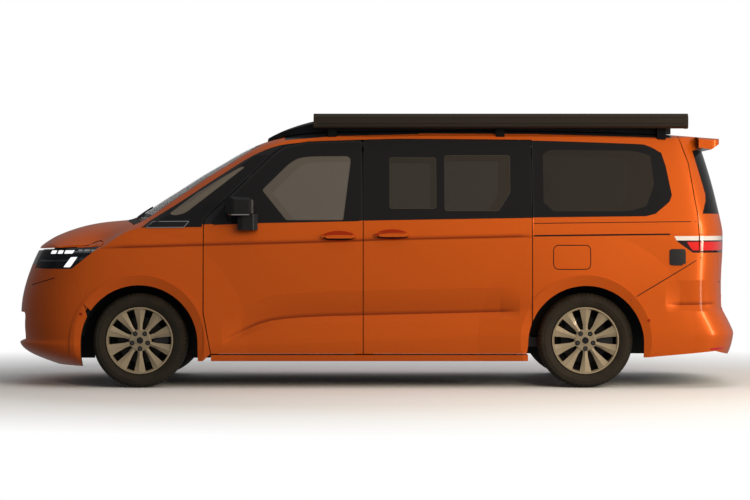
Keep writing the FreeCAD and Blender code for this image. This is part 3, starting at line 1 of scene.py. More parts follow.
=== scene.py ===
"""Looks of a compact camper van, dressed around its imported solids.

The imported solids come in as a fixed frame. Finishes are node graphs on Object
coordinates, repeated parts come from Geometry Nodes, and trim that lies on the
bodywork is laid onto it by casting rays at the solids. Lengths are in metres:
the front of the van looks along -X, its left side along -Y, and Z is up.
"""

from __future__ import annotations

import json
import logging
import math
from collections.abc import Callable, Sequence
from dataclasses import dataclass, field
from enum import Enum

import bmesh
import bpy
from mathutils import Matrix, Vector
from mathutils.bvhtree import BVHTree
from mathutils.geometry import tessellate_polygon

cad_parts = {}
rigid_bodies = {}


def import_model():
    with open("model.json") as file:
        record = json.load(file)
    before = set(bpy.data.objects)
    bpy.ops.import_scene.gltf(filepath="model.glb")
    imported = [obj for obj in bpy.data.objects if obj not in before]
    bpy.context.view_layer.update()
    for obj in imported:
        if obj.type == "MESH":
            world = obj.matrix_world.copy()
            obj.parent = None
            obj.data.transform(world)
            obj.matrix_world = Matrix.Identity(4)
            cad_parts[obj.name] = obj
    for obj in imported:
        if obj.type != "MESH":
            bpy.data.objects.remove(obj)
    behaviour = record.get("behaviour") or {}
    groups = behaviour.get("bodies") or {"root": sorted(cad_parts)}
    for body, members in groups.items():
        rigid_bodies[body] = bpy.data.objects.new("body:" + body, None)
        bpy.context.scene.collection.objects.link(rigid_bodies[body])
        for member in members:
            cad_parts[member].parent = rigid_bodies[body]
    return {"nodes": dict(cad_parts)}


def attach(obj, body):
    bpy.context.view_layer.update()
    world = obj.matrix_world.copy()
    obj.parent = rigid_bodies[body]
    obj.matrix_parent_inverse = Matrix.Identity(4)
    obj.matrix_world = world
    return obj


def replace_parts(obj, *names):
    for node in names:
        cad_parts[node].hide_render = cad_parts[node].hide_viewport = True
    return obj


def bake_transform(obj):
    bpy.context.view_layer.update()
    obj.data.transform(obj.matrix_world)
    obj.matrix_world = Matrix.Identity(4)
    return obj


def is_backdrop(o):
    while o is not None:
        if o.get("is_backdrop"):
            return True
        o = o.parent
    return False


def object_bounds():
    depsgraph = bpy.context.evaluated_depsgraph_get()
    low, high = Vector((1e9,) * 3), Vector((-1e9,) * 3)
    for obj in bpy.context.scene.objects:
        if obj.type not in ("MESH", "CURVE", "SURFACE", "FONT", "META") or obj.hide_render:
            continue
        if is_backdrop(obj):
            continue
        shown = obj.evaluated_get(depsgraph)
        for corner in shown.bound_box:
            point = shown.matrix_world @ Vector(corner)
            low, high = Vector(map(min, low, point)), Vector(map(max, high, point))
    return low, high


LOG = logging.getLogger("camper")

Colour = tuple[float, float, float]
Point2 = tuple[float, float]
Point3 = tuple[float, float, float]
Outline = Sequence[Point2]
Edge = Sequence[Point3]
Box = tuple[Sequence[float], Sequence[float]]

MM = 0.001


@dataclass(frozen=True)
class Van:
    """Real sizes that the trim shares with the bodywork, in metres."""

    front_axle_x: float = -1.6485
    rear_axle_x: float = 1.4755
    tyre_radius: float = 0.332
    tyre_width: float = 0.215
    tyre_face_y: float = 0.926


@dataclass(frozen=True)
class PhotoCamera:
    """Where the photograph was taken from.

    Attributes:
        distance: Metres from the van's middle plane to the lens.
        height: Metres from the ground to the lens.
        focal_px: Focal length in pixels of the photograph.
        horizon_row: Row of the photograph on which the horizon lies.
    """

    distance: float = 18.71
    height: float = 1.15
    focal_px: float = 2541.0
    width_px: int = 750
    height_px: int = 500
    horizon_row: float = 223.8
    sensor: float = 36.0

    @property
    def lens(self) -> float:
        """Focal length in millimetres for the sensor."""
        return self.focal_px / self.width_px * self.sensor

    @property
    def pitch(self) -> float:
        """Angle in radians by which the lens looks down."""
        return math.atan((self.height_px / 2 - self.horizon_row) / self.focal_px)


VAN = Van()
PHOTO = PhotoCamera()


class Side(Enum):
    """Side of the van; the value is the sign of y there."""

    LEFT = -1
    RIGHT = 1

    @property
    def word(self) -> str:
        """Lower-case name, as the solids' names use it."""
        return self.name.lower()


def srgb(red: int, green: int, blue: int) -> Colour:
    """Turns a colour seen on a screen into scene-linear values.

    Args:
        red: Red from 0 to 255.
        green: Green from 0 to 255.
        blue: Blue from 0 to 255.

    Returns:
        The same colour as three linear values.
    """

    def linear(value: int) -> float:
        """One channel of the colour."""
        share = value / 255
        return share / 12.92 if share <= 0.04045 else ((share + 0.055) / 1.055) ** 2.4

    return linear(red), linear(green), linear(blue)


class Sock:
    """A value in a node graph that takes part in arithmetic.

    Args:
        graph: Graph that the value belongs to.
        output: Output socket that gives the value.
    """

    def __init__(self, graph: Graph, output: bpy.types.NodeSocket) -> None:
        """Keeps the graph and the socket."""
        self.graph = graph
        self.output = output

    def __add__(self, other: Sock | float) -> Sock:
        """The value plus another."""
        return self.graph.maths("ADD", self, other)

    def __radd__(self, other: float) -> Sock:
        """A number plus the value."""
        return self.graph.maths("ADD", other, self)

    def __sub__(self, other: Sock | float) -> Sock:
        """The value minus another."""
        return self.graph.maths("SUBTRACT", self, other)

    def __rsub__(self, other: float) -> Sock:
        """A number minus the value."""
        return self.graph.maths("SUBTRACT", other, self)

    def __mul__(self, other: Sock | float) -> Sock:
        """The value times another."""
        return self.graph.maths("MULTIPLY", self, other)

    def __rmul__(self, other: float) -> Sock:
        """A number times the value."""
        return self.graph.maths("MULTIPLY", other, self)

    def __truediv__(self, other: Sock | float) -> Sock:
        """The value divided by another."""
        return self.graph.maths("DIVIDE", self, other)

    def __rtruediv__(self, other: float) -> Sock:
        """A number divided by the value."""
        return self.graph.maths("DIVIDE", other, self)

    def power(self, exponent: float) -> Sock:
        """The value raised to an exponent."""
        return self.graph.maths("POWER", self, exponent)

    def absolute(self) -> Sock:
        """The value without its sign."""
        return self.graph.maths("ABSOLUTE", self)

    def sine(self) -> Sock:
        """Sine of the value in radians."""
        return self.graph.maths("SINE", self)

    def clamped(self) -> Sock:
        """The value held between 0 and 1."""
        result = self.graph.maths("ADD", self, 0.0)
        result.output.node.use_clamp = True
        return result


class Graph:
    """Builds one material's or world's node tree.

    Args:
        tree: Empty or default node tree, which is cleared.
    """

    def __init__(self, tree: bpy.types.NodeTree) -> None:
        """Empties the tree."""
        self.tree = tree
        self.tree.nodes.clear()
        self._place: Sock | None = None

    def node(self, kind: str, inputs: dict[str | int, object] | None = None,
             **settings: object) -> bpy.types.Node:
        """Makes a node, sets its properties and fills its inputs.

        Args:
            kind: Blender's type name of the node.
            inputs: Values or Socks by the input's name or number.
            **settings: Properties of the node.

        Returns:
            The new node.
        """
        made = self.tree.nodes.new(kind)
        for name, value in settings.items():
            setattr(made, name, value)
        for key, value in (inputs or {}).items():
            self.feed(made.inputs[key], value)
        return made

    def feed(self, socket: bpy.types.NodeSocket, value: object) -> None:
        """Links a Sock to an input, or sets the input's own value."""
        if isinstance(value, Sock):
            self.tree.links.new(value.output, socket)
        elif isinstance(value, tuple) and len(value) == 3 and socket.type == "RGBA":
            socket.default_value = (*value, 1.0)
        else:
            socket.default_value = value

    def maths(self, operation: str, *values: Sock | float) -> Sock:
        """Result of a Math node on up to three values."""
        made = self.node("ShaderNodeMath", dict(enumerate(values)), operation=operation)
        return Sock(self, made.outputs[0])

    def place(self) -> Sock:
        """Object coordinates, shared by the whole graph."""
        if self._place is None:
            self._place = Sock(self, self.node("ShaderNodeTexCoord").outputs["Object"])
        return self._place

    def axes(self) -> tuple[Sock, Sock, Sock]:
        """Object coordinates x, y and z apart."""
        parts = self.node("ShaderNodeSeparateXYZ", {0: self.place()})
        return tuple(Sock(self, output) for output in parts.outputs)

    def noise(self, scale: float, detail: float = 2.0, stretch: Colour = (1.0, 1.0, 1.0)) -> Sock:
        """Noise from 0 to 1 on Object coordinates.

        Args:
            scale: Waves per metre.
            detail: Octaves of finer noise.
            stretch: Factor on each axis before the noise is read.

        Returns:
            The noise value.
        """
        mapped = self.node("ShaderNodeMapping", {"Vector": self.place(), "Scale": Vector(stretch)})
        made = self.node("ShaderNodeTexNoise", {"Vector": Sock(self, mapped.outputs[0]), "Scale": scale,
                                                "Detail": detail})
        return Sock(self, made.outputs["Fac"])

    def between(self, value: Sock, low: float, high: float, to_low: float = 0.0,
                to_high: float = 1.0) -> Sock:
        """Maps a value's range onto another range, held at its ends.

        Args:
            value: Value to map.
            low: Start of its range.
            high: End of its range.
            to_low: Result at the start.
            to_high: Result at the end.

        Returns:
            The mapped value.
        """
        made = self.node("ShaderNodeMapRange", {"Value": value, "From Min": low, "From Max": high,
                                                "To Min": to_low, "To Max": to_high})
        return Sock(self, made.outputs["Result"])

    def mixed(self, share: Sock, first: Colour | Sock, second: Colour | Sock) -> Sock:
        """Colour between two others by a share from 0 to 1."""
        ends = [colour if isinstance(colour, Sock) else (*colour, 1.0) for colour in (first, second)]
        made = self.node("ShaderNodeMix", {0: share, 6: ends[0], 7: ends[1]}, data_type="RGBA")
        return Sock(self, made.outputs[2])

    def bump(self, height: Sock, strength: float, distance: float) -> Sock:
        """Normal bent by a height, as metres of relief."""
        made = self.node("ShaderNodeBump", {"Height": height, "Strength": strength, "Distance": distance})
        return Sock(self, made.outputs[0])

    def principled(self, **inputs: object) -> Sock:
        """A Principled shader; an input's spaces are written as underscores."""
        named = {name.replace("_", " "): value for name, value in inputs.items()}
        return Sock(self, self.node("ShaderNodeBsdfPrincipled", named).outputs[0])

    def finish(self, shader: Sock, kind: str = "ShaderNodeOutputMaterial") -> None:
        """Links the shader to the graph's output."""
        self.node(kind, {"Surface": shader})


@dataclass(frozen=True)
class Finish:
    """A material made once by a function that draws its graph.

    Attributes:
        name: Name of the material.
        draw: Function that fills the graph and returns its shader.
        preview: Colour shown where graphs aren't.
        made: The material, once it is made.
    """

    name: str
    draw: Callable[[Graph], Sock]
    preview: Colour
    made: list[bpy.types.Material] = field(default_factory=list, repr=False, compare=False)

    def material(self) -> bpy.types.Material:
        """The Blender material, made at its first use."""
        if not self.made:
            material = bpy.data.materials.new(self.name)
            material.use_nodes = True
            material.diffuse_color = (*self.preview, 1.0)
            graph = Graph(material.node_tree)
            graph.finish(self.draw(graph))
            self.made.append(material)
        return self.made[0]


class FinishTable(Enum):
    """Base of the tables of finishes."""

    @property
    def material(self) -> bpy.types.Material:
        """The Blender material of this finish."""
        return self.value.material()


def plain(name: str, colour: Colour, roughness: float, metallic: float = 0.0, coat: float = 0.0,
          grain: float = 0.0, grain_scale: float = 900.0, glow: float = 0.0, alpha: float = 1.0,
          shine: float = 0.5) -> Finish:
    """A finish of one colour, with an optional fine grain in its relief.

    Args:
        name: Name of the material.
        colour: Scene-linear colour.
        roughness: Roughness of the surface.
        metallic: Share of metal.
        coat: Weight of a clear coat.
        grain: Relief of the grain in metres, or 0 for none.
        grain_scale: Waves of the grain per metre.
        glow: Strength of the surface's own light.
        alpha: Opacity.
        shine: Strength of plain reflections, 0.5 for most materials.

    Returns:
        The finish.
    """

    def draw(graph: Graph) -> Sock:
        """Shader of one colour."""
        inputs: dict[str, object] = {"Base_Color": colour, "Metallic": metallic, "Coat_Weight": coat,
                                     "Coat_Roughness": 0.04, "Roughness": roughness, "Alpha": alpha,
                                     "Specular_IOR_Level": shine}
        if grain:
            dust = graph.noise(3.0, 4.0)
            inputs["Roughness"] = graph.between(dust, 0.3, 0.7, roughness * 0.92, min(1.0, roughness * 1.08))
            inputs["Normal"] = graph.bump(graph.noise(grain_scale, 2.0), 0.6, grain)
        if glow:
            inputs["Emission_Color"] = colour
            inputs["Emission_Strength"] = glow
        return graph.principled(**inputs)

    return Finish(name, draw, colour)


GLASS_SHINE = 0.22
PAINT_METAL = 0.4
PAINT_COAT = {"Coat_Weight": 0.3, "Coat_Roughness": 0.03, "Specular_IOR_Level": 0.3}


def paint_flakes(graph: Graph) -> Sock:
    """Fine flakes of the metallic paint, from 0 to 1."""
    return graph.between(graph.noise(2600.0, 0.0), 0.35, 0.65)


BODY_HEART = (0.0, 0.0, 0.3)


def inner_faces(graph: Graph) -> Sock:
    """1 on faces of a panel that look towards the middle of the van, 0 on outer and level faces; the paint
    turns near-black there as painted shade.
    """
    normal = graph.node("ShaderNodeTexCoord").outputs["Normal"]
    place = graph.node("ShaderNodeTexCoord").outputs["Object"]
    way = graph.node("ShaderNodeVectorMath", {0: Sock(graph, place), 1: BODY_HEART}, operation="SUBTRACT")
    facing = graph.node("ShaderNodeVectorMath", {0: Sock(graph, normal), 1: Sock(graph, way.outputs[0])},
                        operation="DOT_PRODUCT")
    parts = graph.node("ShaderNodeSeparateXYZ", {0: Sock(graph, normal)})
    level = graph.between(Sock(graph, parts.outputs[2]), 0.4, 0.5, 1.0, 0.0)
    return graph.between(Sock(graph, facing.outputs["Value"]), 0.0, -0.06) * level


@dataclass(frozen=True)
class Pressing:
    """Creases and flares pressed into the painted sides, in metres, in the side view (x, z).

    Attributes:
        shoulder: Step along the door handles.
        rocker: Fold low on the doors, with a bright bulge below it.
        bumper: Fold on the corner of the rear bumper.
        step: Depth and height of the shoulder step, and how far above it the surface is level again.
        fold: Depth of a fold, its height above the line and its height below it.
        flare: Inner and outer radius of a wheel flare, and how far its band leans inwards.
        flare_end: Radius where the body is flat again.
    """

    shoulder: tuple[Point2, ...] = ((-1.95, 0.979), (-1.19, 1.001), (-0.28, 1.025), (0.105, 1.039),
                                    (1.11, 1.062))
    rocker: tuple[Point2, ...] = ((-1.07, 0.330), (-0.98, 0.374), (-0.93, 0.400), (-0.875, 0.426),
                                  (-0.81, 0.453), (-0.735, 0.474), (-0.64, 0.488), (-0.525, 0.498),
                                  (-0.315, 0.508), (1.015, 0.54))
    bumper: tuple[Point2, ...] = ((2.03, 0.585), (2.40, 0.587))
    step: tuple[float, float, float] = (0.010, 0.018, 0.22)
    fold: tuple[float, float, float] = (0.030, 0.17, 0.05)
    flare: tuple[float, float, float] = (0.371, 0.458, 0.024)
    flare_end: float = 0.76


PRESSING = Pressing()
CREASE_ABOVE = (0.002, 0.026)
CREASE_BELOW = (-0.006, -0.001)


def height_along(graph: Graph, x: Sock, line: Sequence[Point2]) -> Sock:
    """Height of a line of straight stretches at a point's x, held at its ends.

    Args:
        graph: Graph to draw in.
        x: The point's x.
        line: Points of the line in metres (x, z).

    Returns:
        The line's height.
    """
    total: Sock | None = None
    for (x0, z0), (x1, z1) in zip(line, line[1:], strict=False):
        rise = graph.between(x, x0, x1, 0.0 if total else z0, z1 - z0 if total else z1)
        total = rise if total is None else total + rise
    return total


def fold_along(graph: Graph, line: Sequence[Point2], fade: float) -> Sock:
    """Relief of a fold: the surface tucks in down to the line and swells again below it.

    Args:
        graph: Graph to draw in.
        line: Points of the fold in metres (x, z).
        fade: Length over which it fades at each end.

    Returns:
        Metres of relief.
    """
    x, _, z = graph.axes()
    depth, above, below = PRESSING.fold
    rise = z - height_along(graph, x, line)
    tuck = graph.maths("MAXIMUM", graph.between(rise, 0.0, above, -depth, 0.0),
                       graph.between(rise, -below, 0.0, 0.0, -depth))
    start, end = line[0][0], line[-1][0]
    here = graph.between(x, start, start + fade) * graph.between(x, end - fade, end, 1.0, 0.0)
    return tuck * here


def crease_depth(graph: Graph) -> Sock:
    """1 in the bottom of a crease of the painted sides, fading out above it, where the paint is darkened as
    painted shade.
    """
    x, y, z = graph.axes()
    total: Sock | None = None
    for line, fade in ((PRESSING.shoulder, 0.2), (PRESSING.rocker, 0.24), (PRESSING.bumper, 0.10)):
        rise = z - height_along(graph, x, line)
        near = graph.between(rise, *CREASE_ABOVE, 0.75, 0.0) * graph.between(rise, *CREASE_BELOW)
        start, end = line[0][0], line[-1][0]
        near = near * graph.between(x, start, start + fade) * graph.between(x, end - fade / 2, end, 1.0, 0.0)
        total = near if total is None else graph.maths("MAXIMUM", total, near)
    return total * graph.between(y.absolute(), 0.74, 0.80)


def paint_colour(graph: Graph, flakes: Sock) -> Sock:
    """Orange of the paint, brighter on its flakes and darkened by painted shade in the depth of its creases.
    """
    orange = graph.mixed(flakes, srgb(208, 86, 16), srgb(232, 106, 22))
    # Painted shade: the orange turns dark red-brown along the bottom of each crease.
    return graph.mixed(crease_depth(graph), orange, srgb(128, 34, 0))


def from_axle(x: Sock, z: Sock, axle_x: float | Sock) -> Sock:
    """Distance of a point from an axle, in the side view."""
    return ((x - axle_x).power(2.0) + (z - VAN.tyre_radius).power(2.0)).power(0.5)


def pressed_sides(graph: Graph) -> Sock:
    """Normal of the painted sides, bent by their creases and wheel flares."""
    x, y, z = graph.axes()
    deep, tall, level = PRESSING.step
    rise = z - height_along(graph, x, PRESSING.shoulder)
    ends = graph.between(x, -1.95, -1.70) * graph.between(x, 1.10, 1.11, 1.0, 0.0)
    height = graph.between(rise, -tall / 2, tall / 2, 0.0, deep)
    height = (height - graph.between(rise, tall / 2, level, 0.0, deep)) * ends
    for line, fade in ((PRESSING.rocker, 0.14), (PRESSING.bumper, 0.10)):
        height = height + fold_along(graph, line, fade)
    lip, edge, lean = PRESSING.flare
    for axle_x in (VAN.front_axle_x, VAN.rear_axle_x):
        radius = from_axle(x, z, axle_x)
        height = height + graph.between(radius, lip, edge, -lean, 0.0)
        height = height + graph.between(radius, edge, PRESSING.flare_end, 0.0, -lean)
    outer = graph.between(y.absolute(), 0.60, 0.74)
    return graph.bump(height, outer, 1.0)


def draw_paint(graph: Graph) -> Sock:
    """Orange metallic paint under a clear coat, with faint flakes, painted shade in its creases and
    near-black painted shade on its inner faces.
    """
    flakes, inner = paint_flakes(graph), inner_faces(graph)
    # Faces that look into the van turn near-black and lose their metal, as painted shade.
    return graph.principled(Base_Color=graph.mixed(inner, paint_colour(graph, flakes), srgb(30, 29, 28)),
                            Metallic=graph.between(inner, 0.0, 1.0, PAINT_METAL, 0.0), **PAINT_COAT,
                            Roughness=graph.between(flakes, 0.0, 1.0, 0.3, 0.38), Normal=pressed_sides(graph))


def draw_rubber(graph: Graph) -> Sock:
    """Tyre rubber with a fine grain."""
    grain = graph.noise(700.0, 3.0)
    shade = graph.between(graph.noise(14.0, 3.0), 0.3, 0.7)
    colour = graph.mixed(shade, srgb(36, 31, 24), srgb(48, 42, 33))
    return graph.principled(Base_Color=colour, Roughness=graph.between(shade, 0.0, 1.0, 0.72, 0.86),
                            Normal=graph.bump(grain, 0.4, 0.0004))


def woven(graph: Graph, waves: float) -> Sock:
    """Height of a plain weave, from 0 to 1, by its waves per metre and turn."""
    x, y, z = ((axis * waves).sine() for axis in graph.axes())
    return (x * z + y) * 0.25 + 0.5


def draw_cloth(graph: Graph) -> Sock:
    """Woven seat cloth in a dark melange."""
    colour = graph.mixed(graph.noise(260.0, 3.0), srgb(58, 58, 60), srgb(96, 94, 92))
    return graph.principled(Base_Color=colour, Roughness=0.9,
                            Normal=graph.bump(woven(graph, 1400.0), 0.3, 0.0006))


def draw_canvas(graph: Graph) -> Sock:
    """Coated grey canvas with a plain weave."""
    colour = graph.mixed(graph.noise(7.0, 4.0), srgb(112, 111, 108), srgb(140, 138, 133))
    return graph.principled(Base_Color=colour, Roughness=0.82,
                            Normal=graph.bump(woven(graph, 1800.0), 0.25, 0.0008))


SPOKE_GROOVE = (0.003, 0.125, 0.212)
SPOKE_ROOT = (0.050, 0.876)
SPOKE_END = (0.222, 0.893)
RIM_LIP = 0.2255


def draw_disc(graph: Graph) -> Sock:
    """Cast alloy with a fine metallic sparkle, with dark painted shade behind its spokes and in the grooves
    along them.
    """
    x, y, z = graph.axes()
    sparkle = graph.noise(1900.0, 1.0)
    colour = graph.mixed(graph.between(sparkle, 0.3, 0.7), srgb(140, 126, 104), srgb(178, 163, 138))
    axle_x = graph.between(x, -0.01, 0.01, VAN.front_axle_x, VAN.rear_axle_x)
    radius = from_axle(x, z, axle_x)
    face_y = graph.between(radius, SPOKE_ROOT[0], SPOKE_END[0], SPOKE_ROOT[1], SPOKE_END[1])
    # Painted shade: faces that lie behind the spoke faces turn dark brown.
    behind = graph.between(y.absolute() - face_y, -0.001, 0.001, 1.0, 0.0)
    behind = behind * graph.between(radius, RIM_LIP, RIM_LIP + 0.001, 1.0, 0.0)
    half, start, end = SPOKE_GROOVE
    turn = graph.maths("ARCTAN2", z - VAN.tyre_radius, x - axle_x)
    off = (turn * 5.0).sine().absolute() * radius / 5.0
    # Painted shade along the groove of each spoke.
    groove = graph.between(off, half * 0.6, half, 1.0, 0.0) * graph.between(radius, start, start + 0.03)
    behind = graph.maths("MAXIMUM", behind, groove * graph.between(radius, end, end + 0.001, 0.8, 0.0))
    return graph.principled(Base_Color=graph.mixed(behind, colour, srgb(34, 31, 27)),
                            Metallic=graph.between(behind, 0.0, 1.0, 0.2, 0.3),
                            Coat_Weight=graph.between(behind, 0.0, 1.0, 0.6, 0.0), Coat_Roughness=0.08,
                            Roughness=graph.between(sparkle, 0.3, 0.7, 0.3, 0.4))


LENS_TOP_Z = 0.973


def draw_lens(graph: Graph) -> Sock:
    """Smoked lens of a headlamp, with an opaque black upper edge."""
    _, _, z = graph.axes()
    top = graph.between(z, LENS_TOP_Z - 0.001, LENS_TOP_Z + 0.001)
    return graph.principled(Base_Color=graph.mixed(top, srgb(30, 34, 40), srgb(10, 10, 12)), Roughness=0.03,
                            Alpha=graph.between(top, 0.0, 1.0, 0.55, 1.0), Specular_IOR_Level=0.3)


AWNING_FOOT_Z = 1.823


def draw_awning(graph: Graph) -> Sock:
    """Brown anodised case of the awning on black feet."""
    _, _, z = graph.axes()
    foot = graph.between(z, AWNING_FOOT_Z - 0.001, AWNING_FOOT_Z + 0.001, 1.0, 0.0)
    return graph.principled(Base_Color=graph.mixed(foot, srgb(48, 42, 36), srgb(12, 12, 14)), Metallic=0.2,
                            Roughness=0.45, Specular_IOR_Level=0.3)


def draw_cabinet(graph: Graph) -> Sock:
    """Pale laminate with a faint wood grain along the van."""
    streaks = graph.noise(9.0, 5.0, (0.6, 12.0, 12.0))
    colour = graph.mixed(graph.between(streaks, 0.3, 0.7), srgb(186, 178, 166), srgb(214, 207, 196))
    return graph.principled(Base_Color=colour, Roughness=0.5)


class Look(FinishTable):
    """Every finish that the van wears."""

    PAINT = Finish("orange_paint", draw_paint, srgb(200, 80, 35))
    TYRE = Finish("tyre_rubber", draw_rubber, srgb(40, 40, 42))
    ALLOY = Finish("champagne_alloy", draw_disc, srgb(190, 182, 172))
    CLOTH = Finish("seat_cloth", draw_cloth, srgb(76, 76, 78))
    CANVAS = Finish("roof_canvas", draw_canvas, srgb(126, 124, 120))
    CABINET = Finish("pale_laminate", draw_cabinet, srgb(200, 192, 180))
    CLEAR_GLASS = plain("tinted_clear_glass", srgb(70, 76, 76), 0.03, alpha=0.42, shine=GLASS_SHINE)
    DARK_GLASS = plain("dark_clear_glass", srgb(18, 20, 22), 0.04, alpha=0.95, shine=GLASS_SHINE)
    LENS = Finish("lamp_lens", draw_lens, srgb(30, 34, 40))
    # Gloss black of real trim, also worn by the dark discs of painted shade round the wheel bolts.
    GLOSS_BLACK = plain("gloss_black_trim", srgb(15, 15, 17), 0.16, coat=0.4)
    SATIN_BLACK = plain("satin_black_plastic", srgb(34, 34, 36), 0.55, grain=0.0003)
    ROOF_BLACK = plain("roof_black", srgb(19, 21, 26), 0.5, shine=0.2)
    # Dark underbody coating, which also colours the plates of painted shade in the wheel arches.
    UNDERBODY = plain("underbody_coating", srgb(30, 30, 31), 0.8, grain=0.0006, grain_scale=160.0)
    CAST_STEEL = plain("cast_steel", srgb(92, 92, 94), 0.52, metallic=0.8, grain=0.0003)
    BRIGHT_STEEL = plain("bright_steel", srgb(190, 190, 192), 0.24, metallic=1.0)
    CHROME = plain("bright_chrome", srgb(225, 226, 228), 0.08, metallic=1.0)
    AWNING = Finish("awning_case", draw_awning, srgb(48, 42, 36))
    # Red lens of the rear reflectors; its faint glow is painted light.
    RED_LENS = plain("red_lens", srgb(176, 14, 16), 0.08, coat=1.0, glow=0.12)
    LED_WHITE = plain("lit_led", srgb(250, 250, 252), 0.2, glow=2.2)
    DASH = plain("dashboard_plastic", srgb(40, 40, 42), 0.6, grain=0.0004)
    FLOOR_MAT = plain("floor_lining", srgb(96, 88, 80), 0.7, grain=0.0003)
    PAINT_SHADE = plain("shaded_paint", srgb(150, 42, 6), 0.6, shine=0.2)
    LEDGE_PAINT = plain("ledge_paint", srgb(218, 95, 19), 0.34, metallic=PAINT_METAL, coat=0.3)
    HUB_ALLOY = plain("hub_alloy", srgb(150, 137, 114), 0.36, metallic=0.2, coat=0.4)
    PANE_FRAME = plain("pane_frame", srgb(62, 57, 46), 0.5)
    # Dark brown of shut lines and seams, also worn by the painted shadows under the door handles and along
    # the awning case.
    SHUT_LINE = plain("shut_line", srgb(22, 14, 12), 0.8)
    LEATHER = plain("wheel_leather", srgb(28, 28, 29), 0.5, grain=0.0003)


NODE_LOOKS: dict[str, Look] = {
    **dict.fromkeys(("front_fenders", "front_bumper", "rear_bumper", "bonnet"), Look.PAINT),
    **dict.fromkeys(("wheel_wells", "chassis_rails", "front_subframe"), Look.UNDERBODY),
    **dict.fromkeys(("cowl", "wipers", "fuel_tank"), Look.SATIN_BLACK),
    **dict.fromkeys(("engine", "rear_axle", "front_left_knuckle", "front_right_knuckle"), Look.CAST_STEEL),
    **dict.fromkeys(("front_seats", "rear_bench"), Look.CLOTH),
    "floor": Look.FLOOR_MAT, "grille": Look.GLOSS_BLACK, "windscreen": Look.CLEAR_GLASS,
    "headlamps": Look.LENS, "awning": Look.AWNING, "exhaust": Look.BRIGHT_STEEL, "dashboard": Look.DASH,
    "steering_wheel": Look.LEATHER, "kitchen_unit": Look.CABINET, "roof_canvas": Look.CANVAS,
    "tailgate_glass": Look.DARK_GLASS, "pop_roof": Look.ROOF_BLACK,
}


class View(Enum):
    """Direction from which trim is laid onto the bodywork.

    The value holds the ray's direction and the two axes of an outline.
    """

    LEFT = ((0, 1, 0), 0, 2)
    RIGHT = ((0, -1, 0), 0, 2)
    FRONT = ((1, 0, 0), 1, 2)
    REAR = ((-1, 0, 0), 1, 2)
    TOP = ((0, 0, -1), 0, 1)

    @property
    def ray(self) -> Vector:
        """Direction of the ray towards the van."""
        return Vector(self.value[0])

    def lift(self, point: Point2, reach: float = 0.0) -> Vector:
        """Point in space for a point of the outline, moved against the ray by a reach."""
        place = [0.0, 0.0, 0.0]
        place[self.value[1]], place[self.value[2]] = point
        return Vector(place) - self.ray * reach


def view_of(side: Side) -> View:
    """View that faces a side of the van."""
    return View.LEFT if side is Side.LEFT else View.RIGHT


@dataclass
class Bodywork:
    """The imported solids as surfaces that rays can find.

    Attributes:
        nodes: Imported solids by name.
        reach: How far outside the van a ray starts, in metres.
        near: How far outside it the nearest point is looked for, where a ray misses.
        trees: Search trees made so far.
    """

    nodes: dict[str, bpy.types.Object]
    reach: float = 4.0
    near: float = 0.9
    trees: dict[tuple[str, ...], BVHTree] = field(default_factory=dict)

    def tree(self, names: tuple[str, ...]) -> BVHTree:
        """Search tree over the named solids."""
        if names not in self.trees:
            points: list[Vector] = []
            faces: list[tuple[int, ...]] = []
            for name in names:
                mesh, base = self.nodes[name].data, len(points)
                points += [vertex.co.copy() for vertex in mesh.vertices]
                faces += [tuple(base + i for i in face.vertices) for face in mesh.polygons]
            self.trees[names] = BVHTree.FromPolygons(points, faces)
        return self.trees[names]

    def find(self, names: tuple[str, ...], view: View, point: Point2) -> Vector:
        """First place of the named solids that a ray from outside meets.

        Args:
            names: Solids to look at.
            view: Direction of the ray.
            point: Place in the view's own two axes.

        Returns:
            The place met, or the solids' nearest point where the ray misses them.
        """
        tree = self.tree(names)
        start = view.lift(point, self.reach)
        hit = tree.ray_cast(start, view.ray)[0]
        if hit is None:
            near = tree.find_nearest(view.lift(point, self.near))[0]
            hit = Vector(near)
        return hit


def rounded(outline: Outline, radius: float, steps: int = 6) -> list[Point2]:
    """Outline with its corners turned into arcs.

    Args:
        outline: Corner points in order.
        radius: Radius of the arcs, held back on short edges.
        steps: Segments of each arc.

    Returns:
        Points of the rounded outline.
    """
    result: list[Point2] = []
    around = zip(outline[-1:] + outline[:-1], outline, outline[1:] + outline[:1], strict=True)
    for before, corner, after in around:
        here = Vector(corner)
        into, out = Vector(before) - here, Vector(after) - here
        reach = min(radius, into.length * 0.48, out.length * 0.48)
        start, end = here + into.normalized() * reach, here + out.normalized() * reach
        for step in range(steps + 1):
            t = step / steps
            point = start * (1 - t) ** 2 + here * 2 * t * (1 - t) + end * t ** 2
            result.append((point.x, point.y))
    return result


SHARP_ANGLE = math.radians(32)


def flat_mm(points: Outline) -> list[Point2]:
    """Outline in millimetres turned into metres."""
    return [(a * MM, b * MM) for a, b in points]


def add_object(name: str, mesh: bpy.types.Mesh, look: Look, body: str = "root",
               smooth: bool = False) -> bpy.types.Object:
    """Puts a mesh into the scene with its finish and lets it ride on a body.

    Args:
        name: Name of the piece.
        mesh: Its mesh, in place.
        look: Its finish.
        body: Body of the frame that it moves with.
        smooth: Whether its faces are shaded smooth.

    Returns:
        The new object.
    """
    mesh.materials.clear()
    mesh.materials.append(look.material)
    if smooth:
        mesh.shade_smooth()
        mesh.set_sharp_from_angle(angle=SHARP_ANGLE)
    made = bpy.data.objects.new(name, mesh)
    bpy.context.scene.collection.objects.link(made)
    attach(made, body)
    return made


def mesh_from(shape: bmesh.types.BMesh, name: str) -> bpy.types.Mesh:
    """Turns a working mesh into a named mesh with outward normals."""
    bmesh.ops.recalc_face_normals(shape, faces=shape.faces)
    mesh = bpy.data.meshes.new(name)
    shape.to_mesh(mesh)
    shape.free()
    return mesh


